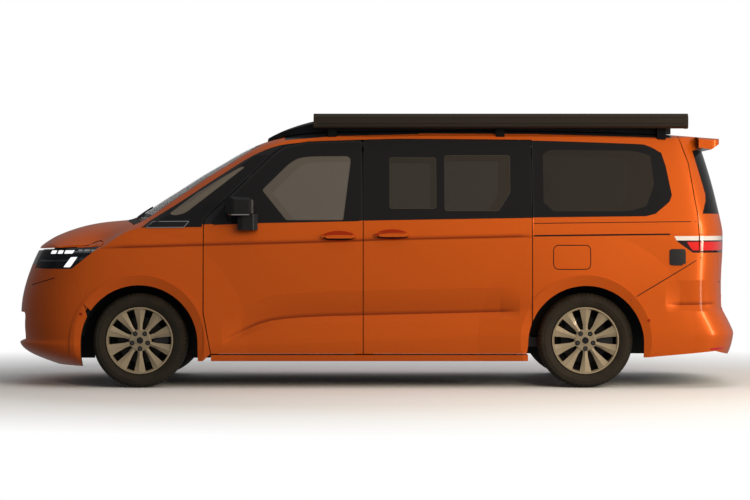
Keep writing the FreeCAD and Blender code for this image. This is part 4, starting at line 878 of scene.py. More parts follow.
@dataclass(frozen=True)
class Trim:
    """How a piece of trim lies on the bodywork.

    Attributes:
        view: Direction from which it is laid on.
        solids: Solids that it lies on.
        proud: How far its face stands out, in metres.
        sunk: How far its back reaches into the bodywork.
        grid: Distance between its inner points.
    """

    view: View
    solids: tuple[str, ...]
    proud: float = 0.0015
    sunk: float = 0.002
    grid: float = 0.06


@dataclass(frozen=True)
class TrimMaker:
    """Lays patches and ribbons onto the bodywork.

    Attributes:
        bodywork: Surfaces to lay them on.
    """

    bodywork: Bodywork

    def _laid(self, shape: bmesh.types.BMesh, trim: Trim, name: str, dome: float = 0.0) -> bpy.types.Mesh:
        """Drops a flat working mesh onto the bodywork and gives it a thickness.

        Args:
            shape: Mesh in the view's two axes.
            trim: How it lies.
            name: Name of the result.
            dome: How much further its middle stands out than its edge.

        Returns:
            The finished mesh.
        """
        view = trim.view
        edge = {vertex for line in shape.edges if line.is_boundary for vertex in line.verts}
        for vertex in shape.verts:
            point = (vertex.co[0], vertex.co[1])
            proud = trim.proud + (0.0 if vertex in edge else dome)
            vertex.co = self.bodywork.find(trim.solids, view, point) - view.ray * proud
        made = bmesh.ops.extrude_face_region(shape, geom=list(shape.faces))
        for item in made["geom"]:
            if isinstance(item, bmesh.types.BMVert):
                item.co += view.ray * (trim.sunk + trim.proud)
        return mesh_from(shape, name)

    def patch(self, name: str, outline: Outline, trim: Trim, look: Look, body: str = "root",
              dome: float = 0.0) -> bpy.types.Object:
        """Lays a filled outline onto the bodywork.

        Args:
            name: Name of the piece.
            outline: Points in the view's two axes, in metres.
            trim: How it lies.
            look: Its finish.
            body: Body that it rides on.
            dome: How much further its middle stands out than its edge.

        Returns:
            The new piece.
        """
        shape = bmesh.new()
        corners = [shape.verts.new((a, b, 0.0)) for a, b in outline]
        for triangle in tessellate_polygon([[Vector((a, b, 0.0)) for a, b in outline]]):
            shape.faces.new([corners[i] for i in triangle])
        for axis in (0, 1):
            values = [point[axis] for point in outline]
            count = int((max(values) - min(values)) / trim.grid)
            normal = Vector((1, 0, 0)) if axis == 0 else Vector((0, 1, 0))
            for step in range(1, count + 1):
                place = Vector((0.0, 0.0, 0.0))
                place[axis] = min(values) + step * trim.grid
                geometry = list(shape.verts) + list(shape.edges) + list(shape.faces)
                bmesh.ops.bisect_plane(shape, geom=geometry, plane_co=place, plane_no=normal)
        return add_object(name, self._laid(shape, trim, name, dome), look, body, smooth=True)

    def ribbon(self, name: str, path: Outline, width: float, trim: Trim, look: Look, body: str = "root",
               closed: bool = False) -> bpy.types.Object:
        """Lays a strip along a path onto the bodywork.

        Args:
            name: Name of the piece.
            path: Middle line in the view's two axes, in metres.
            width: Width of the strip.
            trim: How it lies.
            look: Its finish.
            body: Body that it rides on.
            closed: Whether the path returns to its start.

        Returns:
            The new piece.
        """
        points = [Vector(p) for p in path]
        finer: list[Vector] = []
        ends = points[1:] + points[:1] if closed else points[1:]
        for start, end in zip(points, ends, strict=False):
            count = max(1, math.ceil((end - start).length / trim.grid))
            finer += [start.lerp(end, step / count) for step in range(count)]
        if not closed:
            finer.append(points[-1])
        shape = bmesh.new()
        rows = []
        total = len(finer)
        for i, point in enumerate(finer):
            before = finer[i - 1] if i or closed else point
            after = finer[(i + 1) % total] if i < total - 1 or closed else point
            along = (after - before).normalized()
            across = Vector((-along.y, along.x)) * width / 2
            rows.append([shape.verts.new((*(point + across * s), 0.0)) for s in (-1, 1)])
        pairs = zip(rows, rows[1:] + rows[:1] if closed else rows[1:], strict=False)
        for (a, b), (c, d) in pairs:
            shape.faces.new((a, b, d, c))
        return add_object(name, self._laid(shape, trim, name), look, body, smooth=True)


@dataclass(frozen=True)
class Panes:
    """Clear parts of the window glass in the side view, in millimetres (x, z)."""

    front_door: tuple[Point2, ...] = ((-622, 1174), (-794, 1387), (-600, 1580), (-540, 1614), (-471, 1626),
                                      (-190, 1628), (-168, 1604), (-221, 1174))
    quarter: tuple[Point2, ...] = ((-1444, 1222), (-1408, 1206), (-1330, 1222), (-1056, 1432), (-906, 1552),
                                   (-936, 1556), (-1200, 1408))
    slide_front: tuple[Point2, ...] = ((104, 1257), (104, 1615), (428, 1615), (428, 1257))
    slide_rear: tuple[Point2, ...] = ((490, 1242), (490, 1630), (947, 1630), (947, 1369), (867, 1242))
    rear_quarter: tuple[Point2, ...] = ((1180, 1300), (1180, 1640), (1230, 1672), (1830, 1666), (1940, 1630),
                                        (1962, 1420), (1900, 1270), (1780, 1236), (1250, 1236))


PANES = Panes()


def inside(graph: Graph, axes: tuple[Sock, Sock], outline: Outline, soft: float) -> Sock:
    """Share by which a point lies inside a convex outline.

    Args:
        graph: Graph to draw in.
        axes: The point's two coordinates.
        outline: Corners in metres, in either direction.
        soft: Width over which the edge fades, in metres.

    Returns:
        1 inside, 0 outside.
    """
    first, second = axes
    points = [Vector(p) for p in outline]
    turn = sum(a.cross(b) for a, b in zip(points, points[1:] + points[:1], strict=True))
    depth: Sock | None = None
    for a, b in zip(points, points[1:] + points[:1], strict=True):
        normal = Vector((a.y - b.y, b.x - a.x)).normalized() * (1 if turn > 0 else -1)
        reach = first * normal.x + second * normal.y - normal.dot(a)
        depth = reach if depth is None else graph.maths("SMOOTH_MIN", depth, reach, 0.02)
    return graph.between(depth, 0.0, soft)


def glass_with_panes(name: str, panes: Sequence[tuple[Outline, Colour]], alpha: float) -> Finish:
    """Glass with an opaque black border and see-through panes, as seen from the side.

    Args:
        name: Name of the material.
        panes: Convex outlines in millimetres (x, z), each with its tint.
        alpha: Opacity of the panes.

    Returns:
        The finish.
    """

    def draw(graph: Graph) -> Sock:
        """Shader of the border and the panes."""
        x, _, z = graph.axes()
        colour: Colour | Sock = srgb(27, 27, 29)
        clear: Sock | None = None
        for pane, tint in panes:
            share = inside(graph, (x, z), flat_mm(pane), 0.004)
            colour = graph.mixed(share, colour, tint)
            clear = share if clear is None else graph.maths("MAXIMUM", clear, share)
        return graph.principled(Base_Color=colour, Roughness=0.04, Specular_IOR_Level=GLASS_SHINE,
                                Alpha=graph.between(clear, 0.0, 1.0, 1.0, alpha))

    return Finish(name, draw, panes[0][1])


class PaneLook(FinishTable):
    """Glass finishes with panes, by the solid that wears them."""

    FRONT_DOOR = glass_with_panes("front_door_glass", [(PANES.front_door, srgb(104, 98, 92))], 0.66)
    SLIDING = glass_with_panes("sliding_door_glass", [(PANES.slide_front, srgb(58, 54, 50)),
                                                      (PANES.slide_rear, srgb(58, 54, 50))], 0.72)
    QUARTERS = glass_with_panes("quarter_glass", [(PANES.quarter, srgb(112, 105, 97)),
                                                  (PANES.rear_quarter, srgb(50, 46, 43))], 0.8)


@dataclass(frozen=True)
class HandleLayer:
    """One layer of a door handle, in millimetres in the side view and metres of relief.

    Attributes:
        word: Name of the layer.
        look: Its finish.
        rise: Half of its height.
        bend: Exponent of its outline; above 1 it is pointed, below 1 full.
        proud: How far it stands out, in metres.
        grid: Distance between its inner points, in metres.
        shift: How far its middle lies behind the handle's.
        inset: How much shorter it is at each end.
        drop: How far its middle lies below the handle's.
        dome: How much further its middle stands out than its edge, in metres.
    """

    word: str
    look: Look
    rise: float
    bend: float
    proud: float
    grid: float
    shift: float = 0.0
    inset: float = 0.0
    drop: float = 0.0
    dome: float = 0.0


# The cup is paint darkened as painted shade, and the shadow layer is a dark patch of painted shadow just
# below the raised bar.
HANDLE_LAYERS = (HandleLayer("cup", Look.PAINT_SHADE, 39.0, 1.3, 0.0012, 0.03),
                 HandleLayer("shadow", Look.SHUT_LINE, 17.0, 1.0, 0.0022, 0.03, 4.0, 12.0, 11.0),
                 HandleLayer("bar", Look.PAINT, 14.0, 0.7, 0.006, 0.01, 8.0, 14.0, 4.0, 0.007))
SENSOR_RADIUS = 0.011
CIRCLE = tuple(2 * math.pi * k / 48 for k in range(48))


def bent_sine(angle: float, bend: float) -> float:
    """Sine of an angle, raised to an exponent with its sign kept."""
    return math.copysign(abs(math.sin(angle)) ** bend, math.sin(angle))


@dataclass(frozen=True)
class SideTrim:
    """Everything laid onto the sides of the body: seams, handles, flaps and sensors.

    The sizes are outlines and lines in the side view, in millimetres (x, z).

    Attributes:
        maker: Maker that lays trim onto the bodywork.
    """

    maker: TrimMaker
    front_handle: tuple[Point2, float] = ((-376, -132), 1062)
    slide_handle: tuple[Point2, float] = ((-2, 241), 1073)
    rail_slot: Outline = ((1110, 1066), (1600, 1072), (2064, 1077))
    joint_line: Outline = ((1108, 1153), (1700, 1160), (2254, 1166))
    fuel_flap: Outline = ((1248, 832), (1507, 832), (1507, 1000), (1248, 1000))
    socket_flap: Outline = ((2058, 860), (2172, 860), (2172, 974), (2058, 974))
    badge_strip: Outline = ((-1600, 1124), (-1556, 1166), (-1300, 1168), (-1338, 1126))
    sensors: Outline = ((-2055, 520), (1912, 475))
    bumper_seam: Outline = ((1786, 617), (2284, 916))
    nose_seam: Outline = ((-2436, 717), (-2250, 770))

    def build(self) -> None:
        """Builds the trim of both sides."""
        for side in Side:
            self._handles(side)
            self._rear_quarter(side)
            self._foot_strip(side)
            self._pane_frames(side)
            self._sensors(side)
        self._flaps()

    def _handles(self, side: Side) -> None:
        """Handles of a side's doors, each a cup in painted shade, a dark patch of painted shadow under the
        bar and a raised bar.
        """
        plan = ((self.front_handle, f"front_{side.word}_door", f"front_{side.word}_door"),
                (self.slide_handle, f"sliding_door_{side.word}", "root"))
        for ((start, end), height), solid, body in plan:
            middle, half = (start + end) / 2, (end - start) / 2
            for layer in HANDLE_LAYERS:
                outline = [(middle + layer.shift + (half - layer.inset) * math.cos(a),
                            height - layer.drop + layer.rise * bent_sine(a, layer.bend)) for a in CIRCLE]
                trim = Trim(view_of(side), (solid,), layer.proud, sunk=0.001, grid=layer.grid)
                self.maker.patch(f"{solid}_handle_{layer.word}", flat_mm(outline), trim, layer.look, body,
                                 dome=layer.dome)

    def _rear_quarter(self, side: Side) -> None:
        """Sliding-door rail slot, the joint line above it and the seams of both bumpers."""
        panel = f"body_side_{side.word}"
        plan = (("rail_slot", self.rail_slot, 0.011, (panel, "side_glass"), 0.06),
                ("joint_line", self.joint_line, 0.005, (panel, "side_glass"), 0.06),
                ("bumper_seam", self.bumper_seam, 0.006, (panel, "rear_bumper"), 0.06),
                ("nose_seam", self.nose_seam, 0.006, ("front_bumper",), 0.02))
        for word, line, width, solids, grid in plan:
            trim = Trim(view_of(side), solids, proud=0.0008, sunk=0.003, grid=grid)
            self.maker.ribbon(f"{word}_{side.word}", flat_mm(line), width, trim, Look.SHUT_LINE)

    def _pane_frames(self, side: Side) -> None:
        """Thin frames round the two panes of a sliding door."""
        trim = Trim(view_of(side), ("sliding_door_glass",), proud=0.001, sunk=0.001, grid=0.05)
        for number, pane in enumerate((PANES.slide_front, PANES.slide_rear), 1):
            outline = rounded(flat_mm(pane), 0.018, 6)
            name = f"sliding_door_{side.word}_pane_frame_{number}"
            self.maker.ribbon(name, outline, 0.004, trim, Look.PANE_FRAME, closed=True)

    def _foot_strip(self, side: Side) -> None:
        """Plain strip in a bright frame at the foot of the windscreen pillar."""
        solids = ("side_glass", "front_fenders", f"body_side_{side.word}")
        strip = rounded(flat_mm(self.badge_strip), 0.006)
        trim = Trim(view_of(side), solids, proud=0.004, sunk=0.002)
        self.maker.patch(f"foot_strip_{side.word}", strip, trim, Look.GLOSS_BLACK)
        edge = Trim(view_of(side), solids, proud=0.006, sunk=0.003)
        self.maker.ribbon(f"foot_strip_frame_{side.word}", strip, 0.005, edge, Look.CHROME, closed=True)

    def _sensors(self, side: Side) -> None:
        """Parking sensors beside the wheel arches."""
        homes = (("front_bumper", "front_fenders"), ("rear_bumper", f"body_side_{side.word}"))
        for (x, z), solids in zip(self.sensors, homes, strict=True):
            disc = [(x * MM + SENSOR_RADIUS * math.cos(a), z * MM + SENSOR_RADIUS * math.sin(a))
                    for a in (2 * math.pi * k / 20 for k in range(20))]
            trim = Trim(view_of(side), solids, proud=0.002, sunk=0.002, grid=0.02)
            end = "front" if x < 0 else "rear"
            self.maker.patch(f"sensor_{end}_{side.word}", disc, trim, Look.PAINT_SHADE)

    def _flaps(self) -> None:
        """Filler flap and mains socket flap on the left side."""
        solids = ("body_side_left",)
        seam = rounded(flat_mm(self.fuel_flap), 0.04, 8)
        trim = Trim(View.LEFT, solids, proud=0.0008, sunk=0.003, grid=0.03)
        self.maker.ribbon("filler_flap_seam", seam, 0.006, trim, Look.SHUT_LINE, closed=True)
        socket = rounded(flat_mm(self.socket_flap), 0.02, 8)
        cover = Trim(View.LEFT, solids, proud=0.006, sunk=0.002, grid=0.03)
        self.maker.patch("mains_socket_flap", socket, cover, Look.SATIN_BLACK, dome=0.003)


@dataclass(frozen=True)
class Zones:
    """Black zones of the painted panels in the side view, in millimetres (x, z)."""

    window_band: tuple[tuple[Point2, ...], ...] = (
        ((-1650, 1118), (-1440, 1262), (-1100, 1489), (-883, 1625), (-784, 1671), (-680, 1706), (-477, 1733),
         (-141, 1743), (-60, 1746), (-60, 1167), (-219, 1163), (-822, 1151), (-1190, 1127)),
        ((-150, 1165), (-150, 1744), (177, 1750), (1094, 1742), (1896, 1712), (1970, 1682), (2016, 1648),
         (2045, 1556), (2083, 1350), (2062, 1300), (1966, 1221), (1899, 1203), (1092, 1189)))
    roof: tuple[tuple[Point2, ...], ...] = (
        ((-640, 1738), (-247, 1769), (-247, 2000), (-640, 2000)),
        ((-260, 1768), (317, 1783), (317, 2000), (-260, 2000)),
        ((300, 1783), (600, 1783), (1164, 1776), (1164, 2000), (300, 2000)),
        ((1150, 1776), (1728, 1762), (2100, 1750), (2100, 2000), (1150, 2000)))
    tailgate: tuple[tuple[Point2, ...], ...] = (
        ((2258, 1676), (2344, 1467), (2700, 1467), (2700, 1676)),
        ((2344, 1480), (2344, 1377), (2700, 1377), (2700, 1480)),
        ((2344, 1390), (2318, 1223), (2700, 1223), (2700, 1390)),
        ((2375, 1670), (2484, 1737), (2700, 1737), (2700, 1600), (2375, 1600)))
    red_lens: tuple[Point2, ...] = ((2176, 1026), (2218, 962), (2700, 962), (2700, 1026))
    mirror: tuple[Point2, ...] = ((-1070, 1085), (-1070, 1360), (-800, 1360), (-800, 1085))


ZONES = Zones()
WHITE_BAR_Z = 1.034
DOOR_SKIN_Y = 0.944


def union(graph: Graph, outlines: Sequence[Outline], soft: float) -> Sock:
    """Share by which a point of the side view lies in any of several convex outlines in millimetres.

    Args:
        graph: Graph to draw in.
        outlines: Their corners.
        soft: Width of the faded edge, in metres.

    Returns:
        1 inside, 0 outside.
    """
    x, _, z = graph.axes()
    total: Sock | None = None
    for outline in outlines:
        share = inside(graph, (x, z), flat_mm(outline), soft)
        total = share if total is None else graph.maths("MAXIMUM", total, share)
    return total


def zoned_paint(name: str, outlines: Sequence[Outline]) -> Finish:
    """Orange paint with gloss black zones and black mirrors, painted shade in its creases and near-black
    painted shade on its inner faces.

    Args:
        name: Name of the material.
        outlines: Convex outlines of the zones, in millimetres (x, z).

    Returns:
        The finish.
    """

    def draw(graph: Graph) -> Sock:
        """Shader of the paint and its zones."""
        x, y, z = graph.axes()
        proud = graph.between(y.absolute(), DOOR_SKIN_Y, DOOR_SKIN_Y + 0.002)
        mirror = inside(graph, (x, z), flat_mm(ZONES.mirror), 0.002) * proud
        black = graph.maths("MAXIMUM", union(graph, outlines, 0.002), mirror)
        # Faces that look into the van join the black, as painted shade.
        black = graph.maths("MAXIMUM", black, inner_faces(graph))
        colour = graph.mixed(black, paint_colour(graph, paint_flakes(graph)), srgb(29, 29, 31))
        return graph.principled(Base_Color=colour, **PAINT_COAT,
                                Metallic=graph.between(black, 0.0, 1.0, PAINT_METAL, 0.0),
                                Roughness=graph.between(black, 0.0, 1.0, 0.34, 0.12),
                                Normal=pressed_sides(graph))

    return Finish(name, draw, srgb(200, 80, 35))


def draw_tail_lamp(graph: Graph) -> Sock:
    """Tail lamp: white bar above a red lens in a smoked surround."""
    _, _, z = graph.axes()
    red = union(graph, [ZONES.red_lens], 0.004)
    white = graph.between(z, WHITE_BAR_Z - 0.001, WHITE_BAR_Z + 0.001)
    ribs = ((z * 900.0).sine() * 0.5 + 0.5) * red
    smoked = graph.mixed(red, srgb(34, 10, 12), srgb(205, 24, 20))
    colour = graph.mixed(white, smoked, srgb(214, 208, 206))
    return graph.principled(Base_Color=colour, Roughness=0.1, Coat_Weight=0.7, Emission_Color=colour,
                            Emission_Strength=0.12, Normal=graph.bump(ribs, 0.3, 0.0006))


class ZoneLook(FinishTable):
    """Finishes with zones, by what wears them."""

    SIDES = zoned_paint("orange_paint_black_band", (*ZONES.window_band, *ZONES.roof))
    TAILGATE = zoned_paint("orange_paint_black_tailgate", ZONES.tailgate)
    TAIL_LAMP = Finish("tail_lamp", draw_tail_lamp, srgb(180, 20, 20))


@dataclass(frozen=True)
class Lamps:
    """What shows inside the headlamps, and the reflectors of the rear bumper.

    The sizes are in millimetres (x, z), but the front line's are in metres (y and z).

    Attributes:
        maker: Maker that lays trim onto the bodywork.
    """

    maker: TrimMaker
    leds: tuple[Outline, ...] = (((-2292, 938), (-2282, 962), (-2240, 963), (-2250, 939)),
                                 ((-2236, 939), (-2226, 963), (-2188, 964), (-2198, 940)),
                                 ((-2184, 940), (-2174, 964), (-2104, 965), (-2122, 941)))
    day_light: Outline = ((-2186, 846), (-2131, 916), (-2084, 918), (-2136, 846))
    bright_line: Outline = ((-2366, 893), (-2250, 889), (-2160, 893))
    front_line: tuple[tuple[float, ...], float] = ((0.615, 0.7, 0.8), 0.888)
    reflector: Outline = ((2352, 272), (2450, 276))

    def build(self) -> None:
        """Builds the lamps of both sides."""
        for side in Side:
            self._head(side)
            self._reflector(side)

    def _head(self, side: Side) -> None:
        """Light blocks, day light and bright line behind the lens of a headlamp."""
        view, solids, tag = view_of(side), ("headlamps",), side.word
        inner = Trim(view, solids, proud=-0.003, sunk=0.008, grid=0.02)
        lights = [(f"block_{number}", block, 0.004) for number, block in enumerate(self.leds, 1)]
        for word, block, radius in (*lights, ("day_light", self.day_light, 0.006)):
            outline = rounded(flat_mm(block), radius)
            self.maker.patch(f"headlamp_{tag}_{word}", outline, inner, Look.LED_WHITE)
        line = flat_mm(self.bright_line)
        self.maker.ribbon(f"headlamp_{tag}_bright_line", line, 0.007, inner, Look.CHROME)
        front = Trim(View.FRONT, solids, proud=-0.003, sunk=0.008, grid=0.02)
        places, z = self.front_line
        line = [(side.value * y, z) for y in places]
        self.maker.ribbon(f"headlamp_{tag}_front_line", line, 0.006, front, Look.CHROME)

    def _reflector(self, side: Side) -> None:
        """Red reflector low on a corner of the rear bumper."""
        trim = Trim(view_of(side), ("rear_bumper",), proud=0.002, sunk=0.004, grid=0.02)
        # The reflector's lens glows faintly, as painted light.
        self.maker.ribbon(f"rear_reflector_{side.word}", flat_mm(self.reflector), 0.016, trim, Look.RED_LENS)


WELD_DISTANCE = 0.00001
BOLTS = 5


class Repeater:
    """Geometry Nodes tree that repeats a small mesh about an axle along Y."""

    def __init__(self) -> None:
        """Draws the tree: points, turned copies, plain geometry and a material."""
        self.tree = tree = bpy.data.node_groups.new("repeat_about_axle", "GeometryNodeTree")
        for name, kind in (("Piece", "Geometry"), ("Count", "Int"), ("Start", "Vector"), ("Step", "Vector"),
                           ("Weld", "Float"), ("Finish", "Material")):
            tree.interface.new_socket(name, in_out="INPUT", socket_type=f"NodeSocket{kind}")
        tree.interface.new_socket("Geometry", in_out="OUTPUT", socket_type="NodeSocketGeometry")
        given = tree.nodes.new("NodeGroupInput").outputs
        turned = self._node("ShaderNodeVectorMath")
        turned.operation = "SCALE"
        tree.links.new(given["Step"], turned.inputs[0])
        tree.links.new(self._node("GeometryNodeInputIndex").outputs[0], turned.inputs["Scale"])
        line = self._node("GeometryNodeMeshLine", Count=given["Count"], Start_Location=given["Start"],
                          Offset=(0.0, 0.0, 0.0))
        copies = self._node("GeometryNodeInstanceOnPoints", Points=line.outputs[0], Instance=given["Piece"],
                            Rotation=turned.outputs[0])
        real = self._node("GeometryNodeRealizeInstances", Geometry=copies.outputs[0])
        welded = self._node("GeometryNodeMergeByDistance", Geometry=real.outputs[0], Distance=given["Weld"])
        finished = self._node("GeometryNodeSetMaterial", Geometry=welded.outputs[0], Material=given["Finish"])
        tree.links.new(finished.outputs[0], tree.nodes.new("NodeGroupOutput").inputs[0])

    def _node(self, kind: str, **inputs: object) -> bpy.types.Node:
        """Makes a node of the tree and feeds its inputs, whose spaces are written as underscores."""
        made = self.tree.nodes.new(kind)
        for key, value in inputs.items():
            socket = made.inputs[key.replace("_", " ")]
            if isinstance(value, bpy.types.NodeSocket):
                self.tree.links.new(value, socket)
            else:
                socket.default_value = value
        return made

    def ring(self, name: str, piece: bpy.types.Mesh, count: int, centre: Vector, look: Look,
             body: str) -> bpy.types.Object:
        """Copies a mesh about an axle along Y and keeps the result as a plain mesh.

        Args:
            name: Name of the result.
            piece: Mesh drawn about the origin.
            count: Copies in a full turn.
            centre: Where the origin goes.
            look: Finish of the result.
            body: Body that it rides on.

        Returns:
            The result as one piece.
        """
        values = {"Count": count, "Start": tuple(centre), "Step": (0.0, 2 * math.pi / count, 0.0),
                  "Weld": WELD_DISTANCE, "Finish": look.material}
        carrier = bpy.data.objects.new(f"{name}_source", piece)
        bpy.context.scene.collection.objects.link(carrier)
        modifier = carrier.modifiers.new("repeat", "NODES")
        modifier.node_group = self.tree
        for item in self.tree.interface.items_tree:
            if item.in_out == "INPUT" and item.name in values:
                modifier[item.identifier] = values[item.name]
        seen = carrier.evaluated_get(bpy.context.evaluated_depsgraph_get())
        mesh = bpy.data.meshes.new_from_object(seen)
        mesh.name = name
        bpy.data.objects.remove(carrier)
        return add_object(name, mesh, look, body, smooth=True)


@dataclass(frozen=True)
class Tread:
    """Sizes of a tyre's tread and side wall, in metres.

    Attributes:
        sectors: Blocks round the tyre.
        groove_depth: Depth of the grooves.
        grooves: Middles of the grooves round the tyre, from its mid-plane.
        groove_width: Width of those grooves.
        shoulder: Distance from the mid-plane where the cross grooves start.
    """

    sectors: int = 64
    groove_depth: float = 0.007
    grooves: tuple[float, ...] = (-0.052, -0.018, 0.018, 0.052)
    groove_width: float = 0.010
    shoulder: float = 0.058


@dataclass(frozen=True)
class Wheels:
    """Tyres with a real tread and side wall, which stand for the plain tyre solids.

    Attributes:
        repeater: Tree that repeats a sector.
        tread: Sizes of the tread.
        section: Side wall from the rim to the tread, as (radius, distance from the mid-plane).
        cut_radius: Radius from which the cross grooves cut the side wall.
    """

    repeater: Repeater
    tread: Tread = Tread()
    section: Outline = ((0.2345, 0.0855), (0.240, 0.0935), (0.2485, 0.0965), (0.252, 0.0995),
                        (0.262, 0.1030), (0.278, 0.1070), (0.2795, 0.1075), (0.288, 0.1075),
                        (0.2895, 0.1065), (0.302, 0.1045), (0.3035, 0.1050), (0.312, 0.1020),
                        (0.320, 0.0955), (0.3265, 0.0860), (0.3300, 0.0760))
    cut_radius: float = 0.31

    def build(self) -> None:
        """Builds the four tyres."""
        for end, axle_x in (("front", VAN.front_axle_x), ("rear", VAN.rear_axle_x)):
            for side in Side:
                middle = side.value * (VAN.tyre_face_y - VAN.tyre_width / 2)
                name = f"{end}_{side.word}_tyre"
                tyre = self.repeater.ring(f"{name}_treaded", self._sector(), self.tread.sectors,
                                          Vector((axle_x, middle, VAN.tyre_radius)), Look.TYRE,
                                          f"{end}_{side.word}_wheel")
                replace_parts(tyre, name)

    def _tread_line(self) -> list[tuple[float, float, bool]]:
        """Crown of the tread from side to side, as (radius, place across, whether a cross groove cuts it)."""
        tread, line = self.tread, []
        places = [-0.074, -tread.shoulder]
        for groove in tread.grooves:
            half = tread.groove_width / 2
            across = ((groove - half, 0.0), (groove - half * 0.7, 1.0), (groove + half * 0.7, 1.0),
                      (groove + half, 0.0))
            line += [(VAN.tyre_radius - tread.groove_depth * deep, place, False) for place, deep in across]
        outer = [(VAN.tyre_radius - 0.0012, places[0], True), (VAN.tyre_radius - 0.0004, places[1], True)]
        return outer + line + [(radius, -place, cut) for radius, place, cut in reversed(outer)]

    def _sector(self) -> bpy.types.Mesh:
        """One block's share of the tyre, drawn about the origin."""
        walls = [(radius, across, radius > self.cut_radius) for radius, across in self.section]
        left = [(radius, -across, cut) for radius, across, cut in walls]
        profile = left + self._tread_line() + list(reversed(walls))
        pitch = 2 * math.pi / self.tread.sectors
        columns = ((0.0, 1.0), (0.10, 1.0), (0.13, 0.0), (0.55, 0.0), (0.97, 0.0), (1.0, 1.0))
        shape = bmesh.new()
        grid = []
        for share, deep in columns:
            column = []
            for radius, across, cut in profile:
                low = radius - (self.tread.groove_depth * 0.8 * deep if cut else 0.0)
                angle = pitch * share
                column.append(shape.verts.new((low * math.sin(angle), across, low * math.cos(angle))))
            grid.append(column)
        for first, second in zip(grid, grid[1:], strict=False):
            for k in range(len(profile)):
                shape.faces.new((first[k], first[k - 1], second[k - 1], second[k]))
        return mesh_from(shape, "tyre_sector")


def loop_outline(half_x: tuple[float, float], half_y: float, radius: float, steps: int = 8) -> list[Point2]:
    """Rounded rectangle from x to x and -y to y, in metres."""
    low, high = half_x
    return rounded([(low, -half_y), (high, -half_y), (high, half_y), (low, half_y)], radius, steps)


def smooth_inverse(share: float) -> float:
    """Share at which a smooth step reaches the given share."""
    return 0.5 - math.sin(math.asin(1 - 2 * share) / 3)


@dataclass(frozen=True)
class Bellows:
    """Sizes of the pop-up roof's canvas, in metres.

    Attributes:
        span: Front and rear x of the ring that it stands on.
        half_width: Half of the ring's width.
        folds: Folds between roof and lid.
        depth: How far each fold reaches inwards.
        low: Height at which the folds start.
        high: Height at which they end.
        gap: Distance of the canvas's edges from roof and lid.
        segment: Longest stretch between two of its uprights.
        cast_height: Height from which rays look for the lid's inner face.
        lid_height: Height of that face where no ray meets it.
    """

    span: tuple[float, float] = (-0.515, 1.555)
    half_width: float = 0.556
    folds: int = 9
    depth: float = 0.032
    low: float = 1.802
    high: float = 1.842
    gap: float = 0.001
    segment: float = 0.08
    cast_height: float = 1.80
    lid_height: float = 1.87


@dataclass(frozen=True)
class RoofTrim:
    """Canvas of the pop-up roof, and a seam and a line of painted shadow on the awning case.

    Attributes:
        bodywork: Surfaces that the canvas stands between.
        maker: Maker that lays trim onto the solids.
        sizes: Sizes of the canvas.
        front_rail: Line of painted shadow on the awning case, in metres (x, z).
        lid_seam: Line above it.
    """

    bodywork: Bodywork
    maker: TrimMaker
    sizes: Bellows = Bellows()
    front_rail: Outline = ((-0.405, 1.853), (2.172, 1.853))
    lid_seam: Outline = ((-0.405, 1.895), (2.172, 1.895))

    def build(self) -> None:
        """Builds the canvas, the awning's seam and its line of painted shadow."""
        self._canvas()
        trim = Trim(View.LEFT, ("awning",), proud=0.0008, sunk=0.002, grid=0.3)
        # A dark line of painted shadow along the awning case, with a real seam above it.
        self.maker.ribbon("awning_front_rail", self.front_rail, 0.005, trim, Look.SHUT_LINE)
        self.maker.ribbon("awning_lid_seam", self.lid_seam, 0.003, trim, Look.SHUT_LINE)

    def _canvas(self) -> None:
        """Folded canvas ring between the roof and the lid's inner face."""
        sizes = self.sizes
        outline = loop_outline(sizes.span, sizes.half_width, 0.06, 8)
        finer: list[Vector] = []
        for start, end in zip(outline, outline[1:] + outline[:1], strict=True):
            a, b = Vector(start), Vector(end)
            count = max(1, math.ceil((b - a).length / sizes.segment))
            finer += [a.lerp(b, step / count) for step in range(count)]
        middle = Vector(((sizes.span[0] + sizes.span[1]) / 2, 0.0))
        levels = [(smooth_inverse(k / (2 * sizes.folds)), k % 2) for k in range(2 * sizes.folds + 1)]
        shape = bmesh.new()
        rows = []
        for point in finer:
            roof = self.bodywork.find(("roof_panel",), View.TOP, (point.x, point.y)).z
            lid = self._lid_underside(point)
            inward = middle - point
            inward = Vector((math.copysign(min(1.0, abs(inward.x) * 4), inward.x),
                             math.copysign(min(1.0, abs(inward.y) * 4), inward.y))).normalized() * sizes.depth
            folds = [(sizes.low + (sizes.high - sizes.low) * t, deep) for t, deep in levels]
            heights = [(roof + sizes.gap, 0), *folds, (lid - sizes.gap, 0)]
            rows.append([shape.verts.new((point.x + inward.x * deep, point.y + inward.y * deep, z))
                         for z, deep in heights])
        for first, second in zip(rows, rows[1:] + rows[:1], strict=True):
            for k in range(1, len(first)):
                shape.faces.new((first[k - 1], second[k - 1], second[k], first[k]))
        mesh = mesh_from(shape, "roof_bellows")
        mesh.materials.append(Look.CANVAS.material)
        canvas = bpy.data.objects.new("roof_bellows", mesh)
        bpy.context.scene.collection.objects.link(canvas)
        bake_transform(canvas)
        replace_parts(canvas, "roof_canvas")

    def _lid_underside(self, point: Vector) -> float:
        """Height of the lid's inner face above a point of the plan."""
        start = Vector((point.x, point.y, self.sizes.cast_height))
        hit = self.bodywork.tree(("pop_roof",)).ray_cast(start, Vector((0, 0, 1)))[0]
        return hit.z if hit else self.sizes.lid_height


